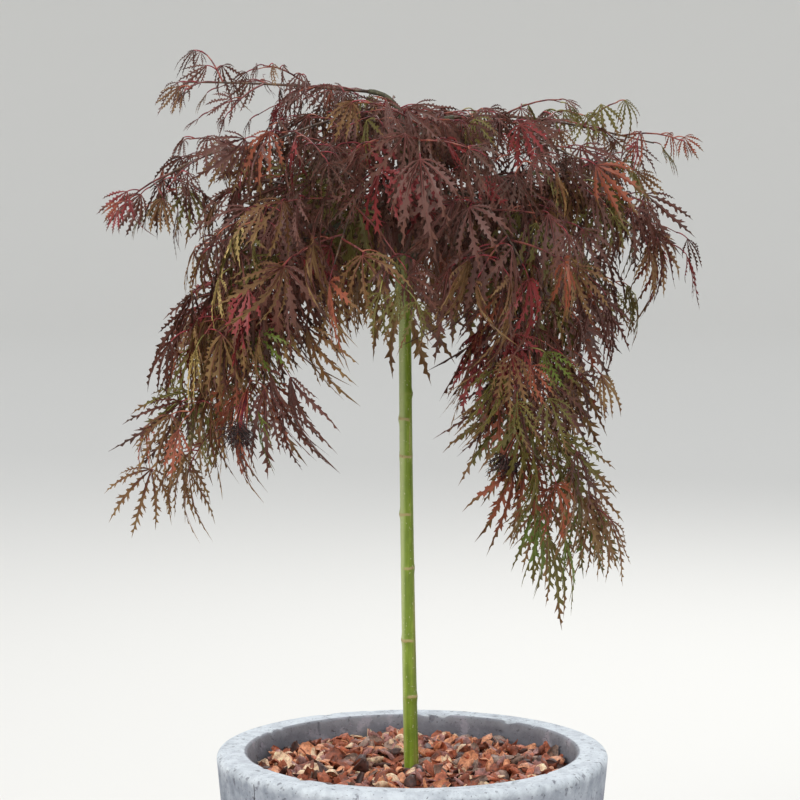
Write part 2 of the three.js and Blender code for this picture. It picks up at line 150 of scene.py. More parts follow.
class Finish:
    """A material, with its Principled shader, being written."""

    def __init__(self, name, **constants):
        self.material = bpy.data.materials.new(name)
        self.material.use_nodes = True
        self.tree = self.material.node_tree
        self.shader = self.tree.nodes["Principled BSDF"]
        for label, value in constants.items():
            self.wear(label.replace("_", " ").title(), value)

    def wear(self, label, value):
        """Sets one of the shader's sockets, to a constant or to what varies."""
        if isinstance(value, Wire):
            self.tree.links.new(value.socket, self.shader.inputs[label])
        else:
            self.shader.inputs[label].default_value = value

    def node(self, kind, settings=None, sockets=None, out=0):
        """Adds a node: first its settings, then its sockets. Returns its output `out`."""
        made = self.tree.nodes.new(kind)
        for label, value in (settings or {}).items():
            if label == "stops":
                ramp = made.color_ramp
                while len(ramp.elements) < len(value):
                    ramp.elements.new(0.5)
                for element, (place, colour) in zip(ramp.elements, value):
                    element.position = place
                    element.color = colour
            else:
                setattr(made, label, value)
        for label, value in (sockets or {}).items():
            if isinstance(value, Wire):
                self.tree.links.new(value.socket, made.inputs[label])
            else:
                made.inputs[label].default_value = value
        return Wire(self, made.outputs[out])

    def place(self, stretch=(1.0, 1.0, 1.0)):
        """The point on the piece, in metres, with each axis stretched."""
        point = self.node("ShaderNodeTexCoord", out="Object")
        return self.node("ShaderNodeMapping", {}, {"Vector": point, "Scale": stretch})

    def cloud(self, place, scale, detail=3.0, rough=0.5):
        """Soft random mottling from 0 to 1, `scale` patches to the metre."""
        sockets = {"Vector": place, "Scale": scale, "Detail": detail, "Roughness": rough}
        return self.node("ShaderNodeTexNoise", {}, sockets)

    def ramp(self, value, *stops):
        """A colour for each value, from (value, colour) stops."""
        return self.node("ShaderNodeValToRGB", {"stops": stops}, {0: value})

    def step(self, value, low, high):
        """0 below `low`, 1 above `high`, and soft between. A larger `low` turns it round."""
        sockets = {"Value": value, "From Min": low, "From Max": high}
        return self.node("ShaderNodeMapRange", {"interpolation_type": "SMOOTHSTEP"}, sockets)

    def blend(self, mask, under, over):
        """The colour `under`, with `over` laid on it where the mask is 1."""
        sockets = {0: mask, 6: under, 7: over}
        return self.node("ShaderNodeMix", {"data_type": "RGBA"}, sockets, out=2)

    def bump(self, height, depth):
        """Makes the surface rough by a height from 0 to 1, `depth` metres deep."""
        sockets = {"Height": height, "Distance": depth, "Strength": 1.0}
        self.wear("Normal", self.node("ShaderNodeBump", {}, sockets))


def paint(red, green, blue):
    """A colour from 0 to 255 on screen, as the linear light that Blender works with."""
    channels = [red / 255, green / 255, blue / 255]
    linear = [c / 12.92 if c < 0.04045 else ((c + 0.055) / 1.055) ** 2.4 for c in channels]
    return (*linear, 1.0)


def mottled(name, roughness, mottling, stops, depth):
    """A finish in one noise, (scale, detail, rough), with a colour at each stop, and its bump."""
    finish = Finish(name, roughness=roughness)
    grain = finish.cloud(finish.place(), *mottling)
    finish.wear("Base Color", finish.ramp(grain, *stops))
    finish.bump(grain, depth)
    return finish


print("mid grey in linear light:", round(paint(128, 128, 128)[0], 3))

# %% [markdown]
# ## Floor
#
# The plant stands on a plain pale ground. A flat plane would end in a hard horizon, so
# the ground is one spun sheet that curves up far behind the plant, the same on all
# sides, as a studio's bowl does.

# %% The ground
GROUND = {"flat": 9.0, "bend": 3.0, "rise": 1.2, "steps": 96, "bend_steps": 12}


def spun(name, profile, steps):
    """A mesh from a profile of (radius, height) points spun all the way round Z."""
    bm = bmesh.new()
    points = [bm.verts.new((radius, 0.0, height)) for radius, height in profile]
    edges = [bm.edges.new(pair) for pair in zip(points, points[1:])]
    bmesh.ops.spin(
        bm, geom=points + edges, cent=(0, 0, 0), axis=(0, 0, 1), dvec=(0, 0, 0),
        angle=math.tau, steps=steps, use_merge=True, use_normal_flip=False, use_duplicate=False,
    )
    bmesh.ops.remove_doubles(bm, verts=bm.verts, dist=1e-6)
    bmesh.ops.recalc_face_normals(bm, faces=bm.faces)
    mesh = bpy.data.meshes.new(name)
    bm.to_mesh(mesh)
    bm.free()
    return mesh


def placed(name, mesh, finish, smooth=True):
    """Puts a mesh in the scene in one finish."""
    mesh.materials.append(finish.material)
    mesh.polygons.foreach_set("use_smooth", [smooth] * len(mesh.polygons))
    thing = bpy.data.objects.new(name, mesh)
    bpy.context.scene.collection.objects.link(thing)
    return thing


def quarter(centre, size, start, end, steps):
    """Points of an arc round a centre, between two angles in degrees from +radius."""
    angles = [math.radians(start + (end - start) * i / steps) for i in range(steps + 1)]
    return [(centre[0] + size * math.cos(a), centre[1] + size * math.sin(a)) for a in angles]


bend = quarter((GROUND["flat"], GROUND["bend"]), GROUND["bend"], -90, 0, GROUND["bend_steps"])
rim = (bend[-1][0], bend[-1][1] + GROUND["rise"])
ground_mesh = spun("ground", [(0.0, 0.0), (1.0, 0.0), (3.0, 0.0), *bend, rim], GROUND["steps"])
ground_mesh.flip_normals()
pale = Finish("pale_ground", base_color=paint(226, 224, 219), roughness=0.9)
ground = placed("ground", ground_mesh, pale)
print("ground radius:", rim[0], "m")

# %% [markdown]
# ## Pot
#
# The pot is cast in concrete: a thick wall that tapers to the foot, a flat rim with a
# worn round edge, and a rough inside. A cylinder with a loop cut would do from afar. A
# spun profile follows every radius exactly, and moving its points afterwards gives what
# casting and use leave behind: a slight wave in the wall, sunken pits and a chipped rim.

# %% The pot's profile
POT = {
    "height": 0.300, "rim": 0.170, "foot": 0.142, "rim_width": 0.027, "floor": 0.024,
    "wall_at_foot": 0.022, "rim_round": 0.0065, "foot_round": 0.005, "inner_round": 0.003,
}
WALL_STEP = 0.0045
RIM_STEP = 0.0022
POT_STEPS = 300


def between(start, end, step):
    """Points from start to just short of end, about a step apart."""
    count = max(1, round(math.dist(start, end) / step))
    return [tuple(a + (b - a) * i / count for a, b in zip(start, end)) for i in range(count)]


def pot_inside(height):
    """The inner radius at a height: the wall grows thinner towards the foot."""
    share = (height - POT["floor"]) / (POT["height"] - POT["floor"])
    low, high = POT["foot"] - POT["wall_at_foot"], POT["rim"] - POT["rim_width"]
    return low + (high - low) * share


def pot_profile():
    """The outline from the middle of the underside, round the rim, to the floor inside."""
    edge, lip, foot = POT["rim_round"], POT["inner_round"], POT["foot_round"]
    inner = POT["rim"] - POT["rim_width"]
    outer_round = quarter((POT["rim"] - edge, POT["height"] - edge), edge, 0, 90, 7)
    lip_round = quarter((inner + lip, POT["height"] - lip), lip, 90, 180, 4)
    foot_round = quarter((POT["foot"] - foot, foot), foot, -90, 0, 4)
    floor_edge = (pot_inside(POT["floor"]), POT["floor"])
    return (
        between((0.0, 0.0), foot_round[0], 0.02)
        + foot_round[:-1] + between(foot_round[-1], outer_round[0], WALL_STEP)
        + outer_round[:-1] + between(outer_round[-1], lip_round[0], RIM_STEP)
        + lip_round[:-1] + between(lip_round[-1], floor_edge, WALL_STEP * 1.5)
        + [floor_edge, (0.0, POT["floor"])]
    )


pot_mesh = spun("pot_cast", pot_profile(), POT_STEPS)
print("pot faces:", len(pot_mesh.polygons))

# %% [markdown]
# ### Wear on the pot
#
# Chips sit where things knock: on the rim's two edges. Each chip is a place on the rim
# and a size, and every point near it sinks down and into the concrete. Larger waves in
# the wall come from smooth noise, and pits from noise that is kept only where it is
# strongest.

# %% Chips, waves and pits
CHIP = {
    # outside: the share on the outer edge, inset: how far a chip's middle is from each edge,
    # most_small: the power that makes small chips common
    "count": 46, "size": (0.003, 0.0085), "most_small": 2.5, "depth": 0.0028, "push": 0.6,
    "outside": 0.7, "inset": {"outer": 0.0015, "inner": 0.0010, "top": 0.0012}, "zone": 0.012,
}
# Scales are patches of noise to the metre.
WAVE = {"deep": 0.00055, "scale": 14}
PIT = {"deep": 0.0011, "scale": 210, "clusters": 95, "from": 0.62, "span": 0.6}
CHIP_GRAIN = 900
# The inner wall sinks outwards, by a share of what the outer wall sinks.
INNER_WALL = {"skin": 0.002, "share": -0.6}
# The middle of the floor stays plain, and what is this near the rim's height is its top.
PLAIN_MIDDLE = 0.02
TOP_FACE = 0.001
# Any large uneven numbers do: they scatter the digits that are kept.
CHANCE_FACTORS = (12.9898, 78.233, 37.719, 4.581)
CHANCE_STRETCH = 43758.5453


def chance(*keys):
    """A repeatable number from 0 to 1 for any set of numbers."""
    total = 1.0 + sum(key * factor for key, factor in zip(keys, CHANCE_FACTORS))
    large = math.sin(total) * CHANCE_STRETCH
    return large - math.floor(large)


def rim_chips():
    """The chips: (point, size), most on the outer edge of the rim and some on the inner."""
    inset = CHIP["inset"]
    outer = POT["rim"] - inset["outer"]
    inner = POT["rim"] - POT["rim_width"] + inset["inner"]
    height = POT["height"] - inset["top"]
    small, large = CHIP["size"]
    chips = []
    for i in range(CHIP["count"]):
        angle = math.tau * chance(i, 1)
        radius = outer if chance(i, 2) < CHIP["outside"] else inner
        size = small + (large - small) * chance(i, 3) ** CHIP["most_small"]
        chips.append((Vector((radius * math.cos(angle), radius * math.sin(angle), height)), size))
    return chips


def sunk_at(spot):
    """How far waves and pits have sunk a point of the surface."""
    wave = 0.5 + 0.5 * noise.noise(spot * WAVE["scale"])
    pits = noise.noise(spot * PIT["scale"]) + 0.5 * noise.noise(spot * PIT["clusters"])
    return WAVE["deep"] * wave + PIT["deep"] * max(0.0, pits - PIT["from"]) / PIT["span"]


def chip_off(vertex, spot, outward, chips):
    """Sinks a point down and into the rim by each chip that holds it."""
    middle_of_rim = POT["rim"] - POT["rim_width"] / 2
    for chip, size in chips:
        near = 1 - (spot - chip).length / size
        if near > 0:
            rough = 1 + 0.5 * noise.noise(spot * CHIP_GRAIN)
            sink = min(size * 0.5, CHIP["depth"]) * near * rough
            out_of_rim = outward if chip.xy.length > middle_of_rim else -outward
            vertex.co -= (out_of_rim + Vector((0, 0, 1))) * sink * CHIP["push"]


def worn(mesh):
    """Sinks the pot's points into the concrete for waves, pits and chips, never out of it."""
    chips = rim_chips()
    for vertex in mesh.vertices:
        spot = vertex.co.copy()
        outward = Vector((spot.x, spot.y, 0.0))
        if outward.length < PLAIN_MIDDLE or spot.z < POT["foot_round"]:
            continue
        outward.normalize()
        inner_skin = pot_inside(spot.z) + INNER_WALL["skin"]
        on_inner_wall = spot.z > POT["floor"] and outward.dot(spot) < inner_skin
        if spot.z > POT["height"] - TOP_FACE:
            vertex.co.z -= sunk_at(spot)
        else:
            vertex.co -= outward * (sunk_at(spot) * (INNER_WALL["share"] if on_inner_wall else 1.0))
        if spot.z > POT["height"] - CHIP["zone"]:
            chip_off(vertex, spot, outward, chips)


worn(pot_mesh)
print("chips:", CHIP["count"])

# %% [markdown]
# ### Drain holes
#
# Three holes in the floor let water out. The pot is one closed spun shell, and cutting
# three round holes into its faces by hand is slow, so a Boolean modifier takes away
# three cylinders, and the result is kept as a plain mesh.

# %% Drain holes
DRAIN = {"radius": 0.007, "circle": 0.070, "count": 3, "first": 30.0, "sides": 20}


def drained(mesh):
    """The pot's mesh with the drain holes cut through its floor."""
    bm = bmesh.new()
    for i in range(DRAIN["count"]):
        angle = math.radians(DRAIN["first"] + 360 / DRAIN["count"] * i)
        at = (DRAIN["circle"] * math.cos(angle), DRAIN["circle"] * math.sin(angle), POT["floor"] / 2)
        bmesh.ops.create_cone(
            bm, cap_ends=True, segments=DRAIN["sides"], radius1=DRAIN["radius"],
            radius2=DRAIN["radius"], depth=3 * POT["floor"], matrix=Matrix.Translation(at),
        )
    pegs = bpy.data.meshes.new("pegs")
    bm.to_mesh(pegs)
    bm.free()
    cutter = bpy.data.objects.new("pegs", pegs)
    body = bpy.data.objects.new("body", mesh)
    for thing in (cutter, body):
        bpy.context.scene.collection.objects.link(thing)
    cut = body.modifiers.new("drains", "BOOLEAN")
    cut.operation, cut.solver, cut.object = "DIFFERENCE", "EXACT", cutter
    bpy.context.view_layer.update()
    whole = body.evaluated_get(bpy.context.evaluated_depsgraph_get())
    result = bpy.data.meshes.new_from_object(whole)
    bpy.data.objects.remove(body)
    bpy.data.objects.remove(cutter)
    result.name = "pot_cast"
    return result


pot_mesh = drained(pot_mesh)
print("pot faces with its drain holes:", len(pot_mesh.polygons))

# %% [markdown]
# ### Concrete
#
# Cast concrete is pale grey with cooler and warmer clouds in it, dark specks of sand,
# small air holes, a hairline crack, and a rim that is rubbed paler in patches. Its inner
# wall is darkened by painted shade, with a pale bloom here and there. Painting a picture
# for all that would need an unwrapped pot. Noise in the object's own space needs none
# and has no seam: two clouds mix the greys, others add lilac stains, specks and holes,
# the height finds the rim, and the distance from the middle finds the inner wall.

# %% The concrete finish
CRACK = {
    # from: the height where it ends, outside: how far out the wall that it runs in is
    "azimuth": 218.6, "wide": (0.0003, 0.0009), "wander": 0.007, "from": 0.258, "fade": 0.012,
    "outside": (0.150, 0.155), "below_rim": (0.008, 0.006),
}
# How far past the inner wall its painted shade fades out.
INNER_SHADE_FADE = (0.0018, 0.0034)
# How far below and above the rim's height the rubbed finish comes in.
RUBBED = (0.005, 0.004)


def axes_of(finish, place):
    """The x, y and z of a point, each as a socket."""
    return [finish.node("ShaderNodeSeparateXYZ", {}, {0: place}, out=axis) for axis in range(3)]


def hairline(finish, place):
    """1 along a fine crack that runs down the outside from the rim."""
    x, y, height = axes_of(finish, place)
    azimuth = math.radians(CRACK["azimuth"])
    near, far = CRACK["wide"]
    wander = finish.cloud(place, 90.0, 4.0, 0.7) * CRACK["wander"] - CRACK["wander"] / 2
    off = x * math.sin(azimuth) - y * math.cos(azimuth) + wander
    line = finish.step(off, -far, -near) - finish.step(off, near, far)
    outside = finish.step(x * math.cos(azimuth) + y * math.sin(azimuth), *CRACK["outside"])
    below_rim = 1 - finish.step(height, *[POT["height"] - below for below in CRACK["below_rim"]])
    above_end = finish.step(height, CRACK["from"], CRACK["from"] + CRACK["fade"])
    return line * outside * below_rim * above_end


def concrete():
    """Mottled grey, paler where the rim is rubbed, and darkened on the inner wall by painted shade."""
    finish = Finish("cast_concrete")
    place = finish.place()
    broad = finish.cloud(place, 8.0, 6.0, 0.62)
    fine = finish.cloud(place, 52.0, 6.0, 0.7)
    grain = finish.cloud(place, 380.0, 2.0)
    height = axes_of(finish, place)[2]
    flat = finish.place((1.0, 1.0, 0.0))
    radius = finish.node("ShaderNodeVectorMath", {"operation": "LENGTH"}, {0: flat}, out=1)
    grey = finish.ramp(
        broad * 0.5 + fine * 0.5,
        (0.32, paint(96, 102, 114)), (0.45, paint(142, 148, 158)),
        (0.55, paint(166, 171, 180)), (0.68, paint(196, 202, 208)),
    )
    stain = finish.step(finish.cloud(place, 21.0, 4.0, 0.6), 0.54, 0.68)
    stained = finish.blend(stain * 0.5, grey, paint(134, 131, 148))
    rubbed_from, rubbed_to = POT["height"] - RUBBED[0], POT["height"] + RUBBED[1]
    rubbed = finish.step(height + fine * 0.012, rubbed_from, rubbed_to)
    patch = finish.step(finish.cloud(place, 70.0, 5.0, 0.7), 0.40, 0.60)
    paler = finish.blend(rubbed * (0.55 + patch * 0.35), stained, paint(218, 225, 230))
    # The inner wall is darkened with painted shade, which fades out past the wall.
    slope = (pot_inside(POT["height"]) - pot_inside(0.0)) / POT["height"]
    past_wall = radius - height * slope
    inside = 1 - finish.step(past_wall, *[pot_inside(0.0) + past for past in INNER_SHADE_FADE])
    with_painted_inner_shade = finish.blend(inside * 0.72, paler, paint(108, 106, 114))
    bloom = finish.step(finish.cloud(place, 34.0, 5.0, 0.65), 0.56, 0.66)
    bloomed = finish.blend(inside * bloom * 0.7, with_painted_inner_shade, paint(166, 162, 172))
    speck = finish.step(grain, 0.64, 0.70)
    specked = finish.blend(speck * 0.6, bloomed, paint(88, 88, 96))
    hole = finish.step(finish.cloud(place, 150.0, 2.0), 0.62, 0.72)
    pitted = finish.blend(hole * 0.6, specked, paint(104, 104, 114))
    crack = hairline(finish, place)
    finish.wear("Base Color", finish.blend(crack * 0.85, pitted, paint(46, 46, 54)))
    finish.wear("Roughness", 0.78 + fine * 0.18)
    finish.bump(fine * 0.6 + grain * 0.22 - hole * 0.6 - crack * 0.5, 0.0016)
    return finish


pot = placed("pot_cast", pot_mesh, concrete())
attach(pot, "root")
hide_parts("pot")
print("pot stands for its solid")

# %% [markdown]
# ## Soil
#
# The potting soil fills the pot under the mulch and is seen only through the drain
# holes. Its solid already has the right shape, so it stays, and only its finish changes:
# dark peat with a few paler crumbs.

# %% The soil finish
PEAT = ((0.35, paint(34, 25, 19)), (0.6, paint(62, 46, 35)), (0.72, paint(104, 84, 66)))

peat = mottled("peat", 0.95, (160.0, 4.0, 0.7), PEAT, depth=0.002)
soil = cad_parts["soil"]
soil.data.materials.clear()
soil.data.materials.append(peat.material)
print("soil:", len(soil.data.polygons), "faces")

# %% [markdown]
# ## Mulch
#
# The mulch is a layer of dry curled shells, 10 to 25 mm long, heaped loosely. Up close it
# is nothing but single shells and the dark gaps between them. A bumpy disc looks like
# mud. So there is a mound underneath, of crumbled shell painted dark as the shade in those
# gaps, and well over a thousand shells on it, made from a few shapes that are turned,
# tilted and sized at random.

# %% The mound under the shells
MULCH = {
    "bottom": 0.2623, "edge": 0.2745, "middle": 0.2825, "hole": 0.0098, "gap": 0.0003,
    "rings": 26, "steps": 110, "uneven": 0.0016, "lumps": 90, "plain_skirt": 0.002,
}
# Crumbled shell, painted dark: the mound shows only in the gaps, as their shade.
PAINTED_SHADE_CRUMBS = ((0.36, paint(30, 17, 12)), (0.52, paint(64, 36, 24)), (0.7, paint(118, 66, 44)))


def mound_height(radius):
    """The height of the mound: level at the wall, and rising to the stem."""
    share = min(1.0, max(0.0, 1 - radius / pot_inside(MULCH["edge"])))
    return MULCH["edge"] + (MULCH["middle"] - MULCH["edge"]) * share * (2 - share)


def mound_mesh():
    """A closed ring round the stem, with an uneven top."""
    outer, rings = pot_inside(MULCH["bottom"]) - MULCH["gap"], MULCH["rings"]
    radii = [outer + (MULCH["hole"] - outer) * i / rings for i in range(rings + 1)]
    top = [(radius, mound_height(radius)) for radius in radii]
    profile = [(MULCH["hole"], MULCH["bottom"]), (outer, MULCH["bottom"]), *top]
    mesh = spun("mulch_mound", [*profile, profile[0]], MULCH["steps"])
    for vertex in mesh.vertices:
        if vertex.co.z > MULCH["bottom"] + MULCH["plain_skirt"]:
            vertex.co.z += MULCH["uneven"] * noise.noise(vertex.co * MULCH["lumps"])
    return mesh


crumbs_in_painted_shade = mottled("crumbs_in_painted_shade", 0.9, (230.0, 4.0, 0.7), PAINTED_SHADE_CRUMBS, depth=0.003)
mound = placed("mulch_mound", mound_mesh(), crumbs_in_painted_shade)
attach(mound, "root")
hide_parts("mulch")
print("mound:", len(mound.data.polygons), "faces")

# %% [markdown]
# ### Shell shapes
#
# A dried shell is a thin scrap that has curled as it dried. It starts as a small grid,
# is rolled round its long side, cupped at its ends and given a ragged edge, and then a
# solidify operator gives it thickness. Each shape keeps to a few dozen faces, because
# it is repeated hundreds of times.

# %% A curled shell
SHELL_KINDS = [
    # curl: how far it rolls round its long side, cup: how much its ends rise
    {"long": 1.0, "wide": 0.66, "curl": 150, "cup": 0.20, "ragged": 0.06},
    {"long": 1.0, "wide": 0.84, "curl": 100, "cup": 0.24, "ragged": 0.09},
    {"long": 1.0, "wide": 0.50, "curl": 215, "cup": 0.08, "ragged": 0.05},
    {"long": 0.8, "wide": 0.74, "curl": 60, "cup": -0.16, "ragged": 0.12},
    {"long": 1.0, "wide": 0.56, "curl": 125, "cup": 0.14, "ragged": 0.16},
    {"long": 0.7, "wide": 0.70, "curl": 190, "cup": 0.32, "ragged": 0.10},
]
SHELL_WALL = 0.055
SHELL_ENDS = {"narrower": 0.62, "pointed": 2.4}
SHELL_WAVER = 0.05


def shell_shape(kind, number):
    """One shell of length 1 as (points, faces)."""
    bm = bmesh.new()
    bmesh.ops.create_grid(bm, x_segments=4, y_segments=4, size=0.5)
    radius = kind["wide"] / math.radians(kind["curl"])
    for i, vertex in enumerate(bm.verts):
        x, y = vertex.co.x, vertex.co.y
        ragged = 1 + kind["ragged"] * (2 * chance(i, number, 3) - 1)
        narrow = 1 - SHELL_ENDS["narrower"] * (2 * abs(x)) ** SHELL_ENDS["pointed"]
        turn = math.radians(kind["curl"]) * y * narrow * ragged
        lift = kind["cup"] * (2 * x) ** 2 + SHELL_WAVER * (chance(i, number, 4) - 0.5)
        vertex.co = Vector((
            kind["long"] * x * ragged,
            radius * math.sin(turn),
            radius * (1 - math.cos(turn)) + lift,
        ))
    bmesh.ops.solidify(bm, geom=bm.faces, thickness=SHELL_WALL)
    bmesh.ops.recalc_face_normals(bm, faces=bm.faces)
    middle = sum((v.co for v in bm.verts), Vector()) / len(bm.verts)
    bm.verts.index_update()
    points = np.array([(v.co - middle)[:] for v in bm.verts])
    faces = [[v.index for v in face.verts] for face in bm.faces]
    bm.free()
    return points, faces


shell_shapes = [shell_shape(kind, number) for number, kind in enumerate(SHELL_KINDS)]
print("faces of each shell:", [len(faces) for _, faces in shell_shapes])

# %% [markdown]
# ### One mesh from many copies
#
# A thousand objects would be slow, and copies made at render time are lost when the model
# is exported. So copies are written into one mesh as arrays: the points of all copies,
# then their corners, each copy's numbers moved on past those of the one before.

# %% Joining copies
def joined(name, batches):
    """One mesh from (points, faces) batches: points is an array of copies by points by 3."""
    points, corners, sizes, before = [], [], [], 0
    for copies, faces in batches:
        count, each = copies.shape[:2]
        offsets = before + each * np.arange(count)
        flat = np.concatenate([np.asarray(face) for face in faces])
        corners.append((flat[None, :] + offsets[:, None]).ravel())
        sizes.append(np.tile([len(face) for face in faces], count))
        points.append(copies.reshape(-1, 3))
        before += count * each
    points, corners, sizes = map(np.concatenate, (points, corners, sizes))
    mesh = bpy.data.meshes.new(name)
    mesh.vertices.add(len(points))
    mesh.vertices.foreach_set("co", points.astype(np.float32).ravel())
    mesh.loops.add(len(corners))
    mesh.loops.foreach_set("vertex_index", corners.astype(np.int32))
    mesh.polygons.add(len(sizes))
    starts = np.concatenate([[0], np.cumsum(sizes)[:-1]])
    mesh.polygons.foreach_set("loop_start", starts.astype(np.int32))
    mesh.update(calc_edges=True)
    mesh.validate()
    return mesh


def turned(yaw, tilt, roll):
    """A turn as a 3 by 3 array: first a roll and a tilt, then a yaw, in radians."""
    turns = [(yaw, "Z"), (tilt, "Y"), (roll, "X")]
    matrix = Matrix.Identity(3)
    for angle, axis in turns:
        matrix = matrix @ Matrix.Rotation(angle, 3, axis)
    return np.array(matrix)


print("helpers ready")

# %% [markdown]
# ### Heaping the shells
#
# Real shells are dropped and settle. Dropping them with physics would take minutes, and
# nobody sees the lower layers. Here they are dealt out evenly by the sunflower rule, in
# layers: the lower ones lie flatter, and the upper ones lean more steeply and overlap.
# Each shell gets one of seven dry browns, from tan to mauve.

# %% The heap of shells
SHELLS = {
    # most_short: the power that makes short shells common, more: what each layer adds,
    # clear: how far a shell's middle keeps from the stem and the wall, and the share of its
    # length that is added at the wall
    "count": 1200, "length": (0.0115, 0.0245), "most_short": 1.2,
    "layers": 3, "lift": 0.0012, "more_lift": 0.0024, "uneven": 0.0014,
    "lean": 14, "more_lean": 20, "face_down": 0.4, "off_the_rule": 0.6,
    "clear": {"stem": 0.003, "wall": 0.0005, "share": 0.30},
}
SHELL_CREASE = 64
GOLDEN_ANGLE = math.pi * (3 - math.sqrt(5))
SHELL_TINTS = {
    "russet": (paint(172, 98, 70), 0.20),
    "chestnut": (paint(130, 70, 48), 0.22),
    "orange_tan": (paint(212, 142, 104), 0.15),
    "mauve": (paint(160, 112, 104), 0.13),
    "grey_brown": (paint(140, 114, 100), 0.09),
    "pale_tan": (paint(236, 196, 160), 0.13),
    "dark": (paint(70, 40, 32), 0.08),
}


def dealt(shares, draw):
    """The name whose turn it is for a draw from 0 to 1, from {name: share}."""
    total = sum(shares.values())
    for name, share in shares.items():
        draw -= share / total
        if draw <= 0:
            return name
    return name


def heap():
    """The shells' points by tint: {tint: [(kind, points)]}."""
    piles = {tint: [] for tint in SHELL_TINTS}
    shares = {tint: share for tint, (_, share) in SHELL_TINTS.items()}
    low, high = SHELLS["length"]
    clear = SHELLS["clear"]
    foot = MULCH["hole"] + clear["stem"]
    for i in range(SHELLS["count"]):
        length = low + (high - low) * chance(i, 1) ** SHELLS["most_short"]
        reach = pot_inside(MULCH["edge"]) - clear["wall"] - length * clear["share"]
        radius = foot + (reach - foot) * math.sqrt((i + 0.5) / SHELLS["count"])
        angle = i * GOLDEN_ANGLE + SHELLS["off_the_rule"] * (chance(i, 2) - 0.5)
        layer = i % SHELLS["layers"]
        lean = math.radians(SHELLS["lean"] + SHELLS["more_lean"] * layer)
        kind = int(chance(i, 3) * len(shell_shapes))
        over = math.pi if chance(i, 4) < SHELLS["face_down"] else 0.0
        tilt, roll = (lean * (2 * chance(i, key) - 1) for key in (6, 7))
        points = shell_shapes[kind][0] @ turned(math.tau * chance(i, 5), tilt, over + roll).T * length
        height = mound_height(radius) + SHELLS["lift"] + layer * SHELLS["more_lift"]
        height += SHELLS["uneven"] * chance(i, 8)
        points = points + (radius * math.cos(angle), radius * math.sin(angle), height)
        piles[dealt(shares, chance(i, 9))].append((kind, points))
    return piles


def dry(name, colour):
    """A dry shell's finish: a satin brown with darker streaks and pale patches of painted highlight."""
    finish = Finish("shell_" + name, roughness=0.46)
    place = finish.place()
    streak = finish.cloud(place, 240.0, 4.0, 0.65)
    dark = [c * 0.42 for c in colour[:3]] + [1.0]
    # The pale end of the ramp is a painted highlight, scattered by the noise.
    light = [min(1.0, c * 1.7) for c in colour[:3]] + [1.0]
    finish.wear("Base Color", finish.ramp(streak, (0.34, dark), (0.50, colour), (0.68, light)))
    finish.wear("Roughness", 0.36 + streak * 0.3)
    finish.bump(streak, 0.0010)
    return finish


shells = heap()
for tint, (colour, _) in SHELL_TINTS.items():
    batches = []
    for kind, (_, faces) in enumerate(shell_shapes):
        copies = [points for which, points in shells[tint] if which == kind]
        if copies:
            batches.append((np.array(copies), faces))
    name = "shells_" + tint
    thing = placed(name, joined(name, batches), dry(tint, colour))
    thing.data.set_sharp_from_angle(angle=math.radians(SHELL_CREASE))
    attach(thing, "root")
print("shells:", {tint: len(group) for tint, group in shells.items()})

# %% [markdown]
# ## The plant's lines
#
# Everything that grows follows a line: the stem, each bough, each drooping shoot, each
# twig and each leaf stalk. A Bezier curve object could hold each of them, but thousands
# of curve objects are slow and their places are awkward to read. This small class keeps
# a curve as points, and walks along it by shares of its real length.

# %% A line to grow along
UP = np.array((0.0, 0.0, 1.0))


def unit(vector):
    """The same direction, 1 long."""
    return vector / max(1e-9, np.linalg.norm(vector))


class Line:
    """A Bezier curve, walked by shares of its real length."""

    def __init__(self, *controls, pieces=48):
        shares = np.linspace(0, 1, pieces + 1)[:, None]
        rows = [np.asarray(control, float) for control in controls]
        while len(rows) > 1:
            rows = [a + (b - a) * shares for a, b in zip(rows, rows[1:])]
        self.points = rows[0]
        steps = np.linalg.norm(np.diff(self.points, axis=0), axis=1)
        self.walked = np.concatenate([[0.0], np.cumsum(steps)])
        self.length = self.walked[-1]

    def at(self, share):
        """The point at a share of the length."""
        return np.array([np.interp(share * self.length, self.walked, axis) for axis in self.points.T])

    def way(self, share):
        """The direction of growth at a share of the length."""
        return unit(self.at(min(1.0, share + 0.01)) - self.at(max(0.0, share - 0.01)))

    def points_at(self, count):
        return np.array([self.at(i / (count - 1)) for i in range(count)])


def around(azimuth, place):
    """The point at an azimuth in degrees and a (radius, height)."""
    angle = math.radians(azimuth)
    return np.array((place[0] * math.cos(angle), place[0] * math.sin(angle), place[1]))


def lerp(low, high, share):
    """The value at a share of the way from low to high."""
    return low + (high - low) * share


print("half way along a quarter bend:", Line((0, 0, 0), (1, 0, 0), (1, 1, 0)).at(0.5).round(3))

# %% [markdown]
# ## Stem
#
# The stem is a straight green rootstock, as thick as a finger at the mulch. It has faint
# flat sides, a scar with a tan lip wherever a bud was rubbed off, and a swollen graft at
# its top. A cylinder with a bump map keeps a smooth outline that gives it away. Here a
# circle is extruded ring by ring, and every ring gets its own size and its own dents, so
# the relief shows in the outline too.

# %% The stem's size at each height
SOIL_TOP = 0.262
STEM = {
    "base": 0.2623, "top": 0.738, "lean": -0.0065, "foot": 0.0064, "neck": 0.0051,
    "flare": 0.0090, "flare_height": 0.022, "graft": 0.0082, "graft_from": 0.666,
    "graft_full": 0.702, "top_round": 0.009, "top_narrowing": 0.0035,
}
SCARS = {
    # height: the azimuth that the bud's scar faces
    0.346: 305, 0.396: 225, 0.459: 290, 0.506: 200, 0.556: 258, 0.588: 188, 0.610: 346,
}
SCAR = {"tall": 0.0032, "swell": 0.0011}


def on_stem(lean, height):
    """A point of the stem's middle, by a share of its lean and of its height."""
    return (STEM["lean"] * lean, 0.0, lerp(STEM["base"], STEM["top"], height))


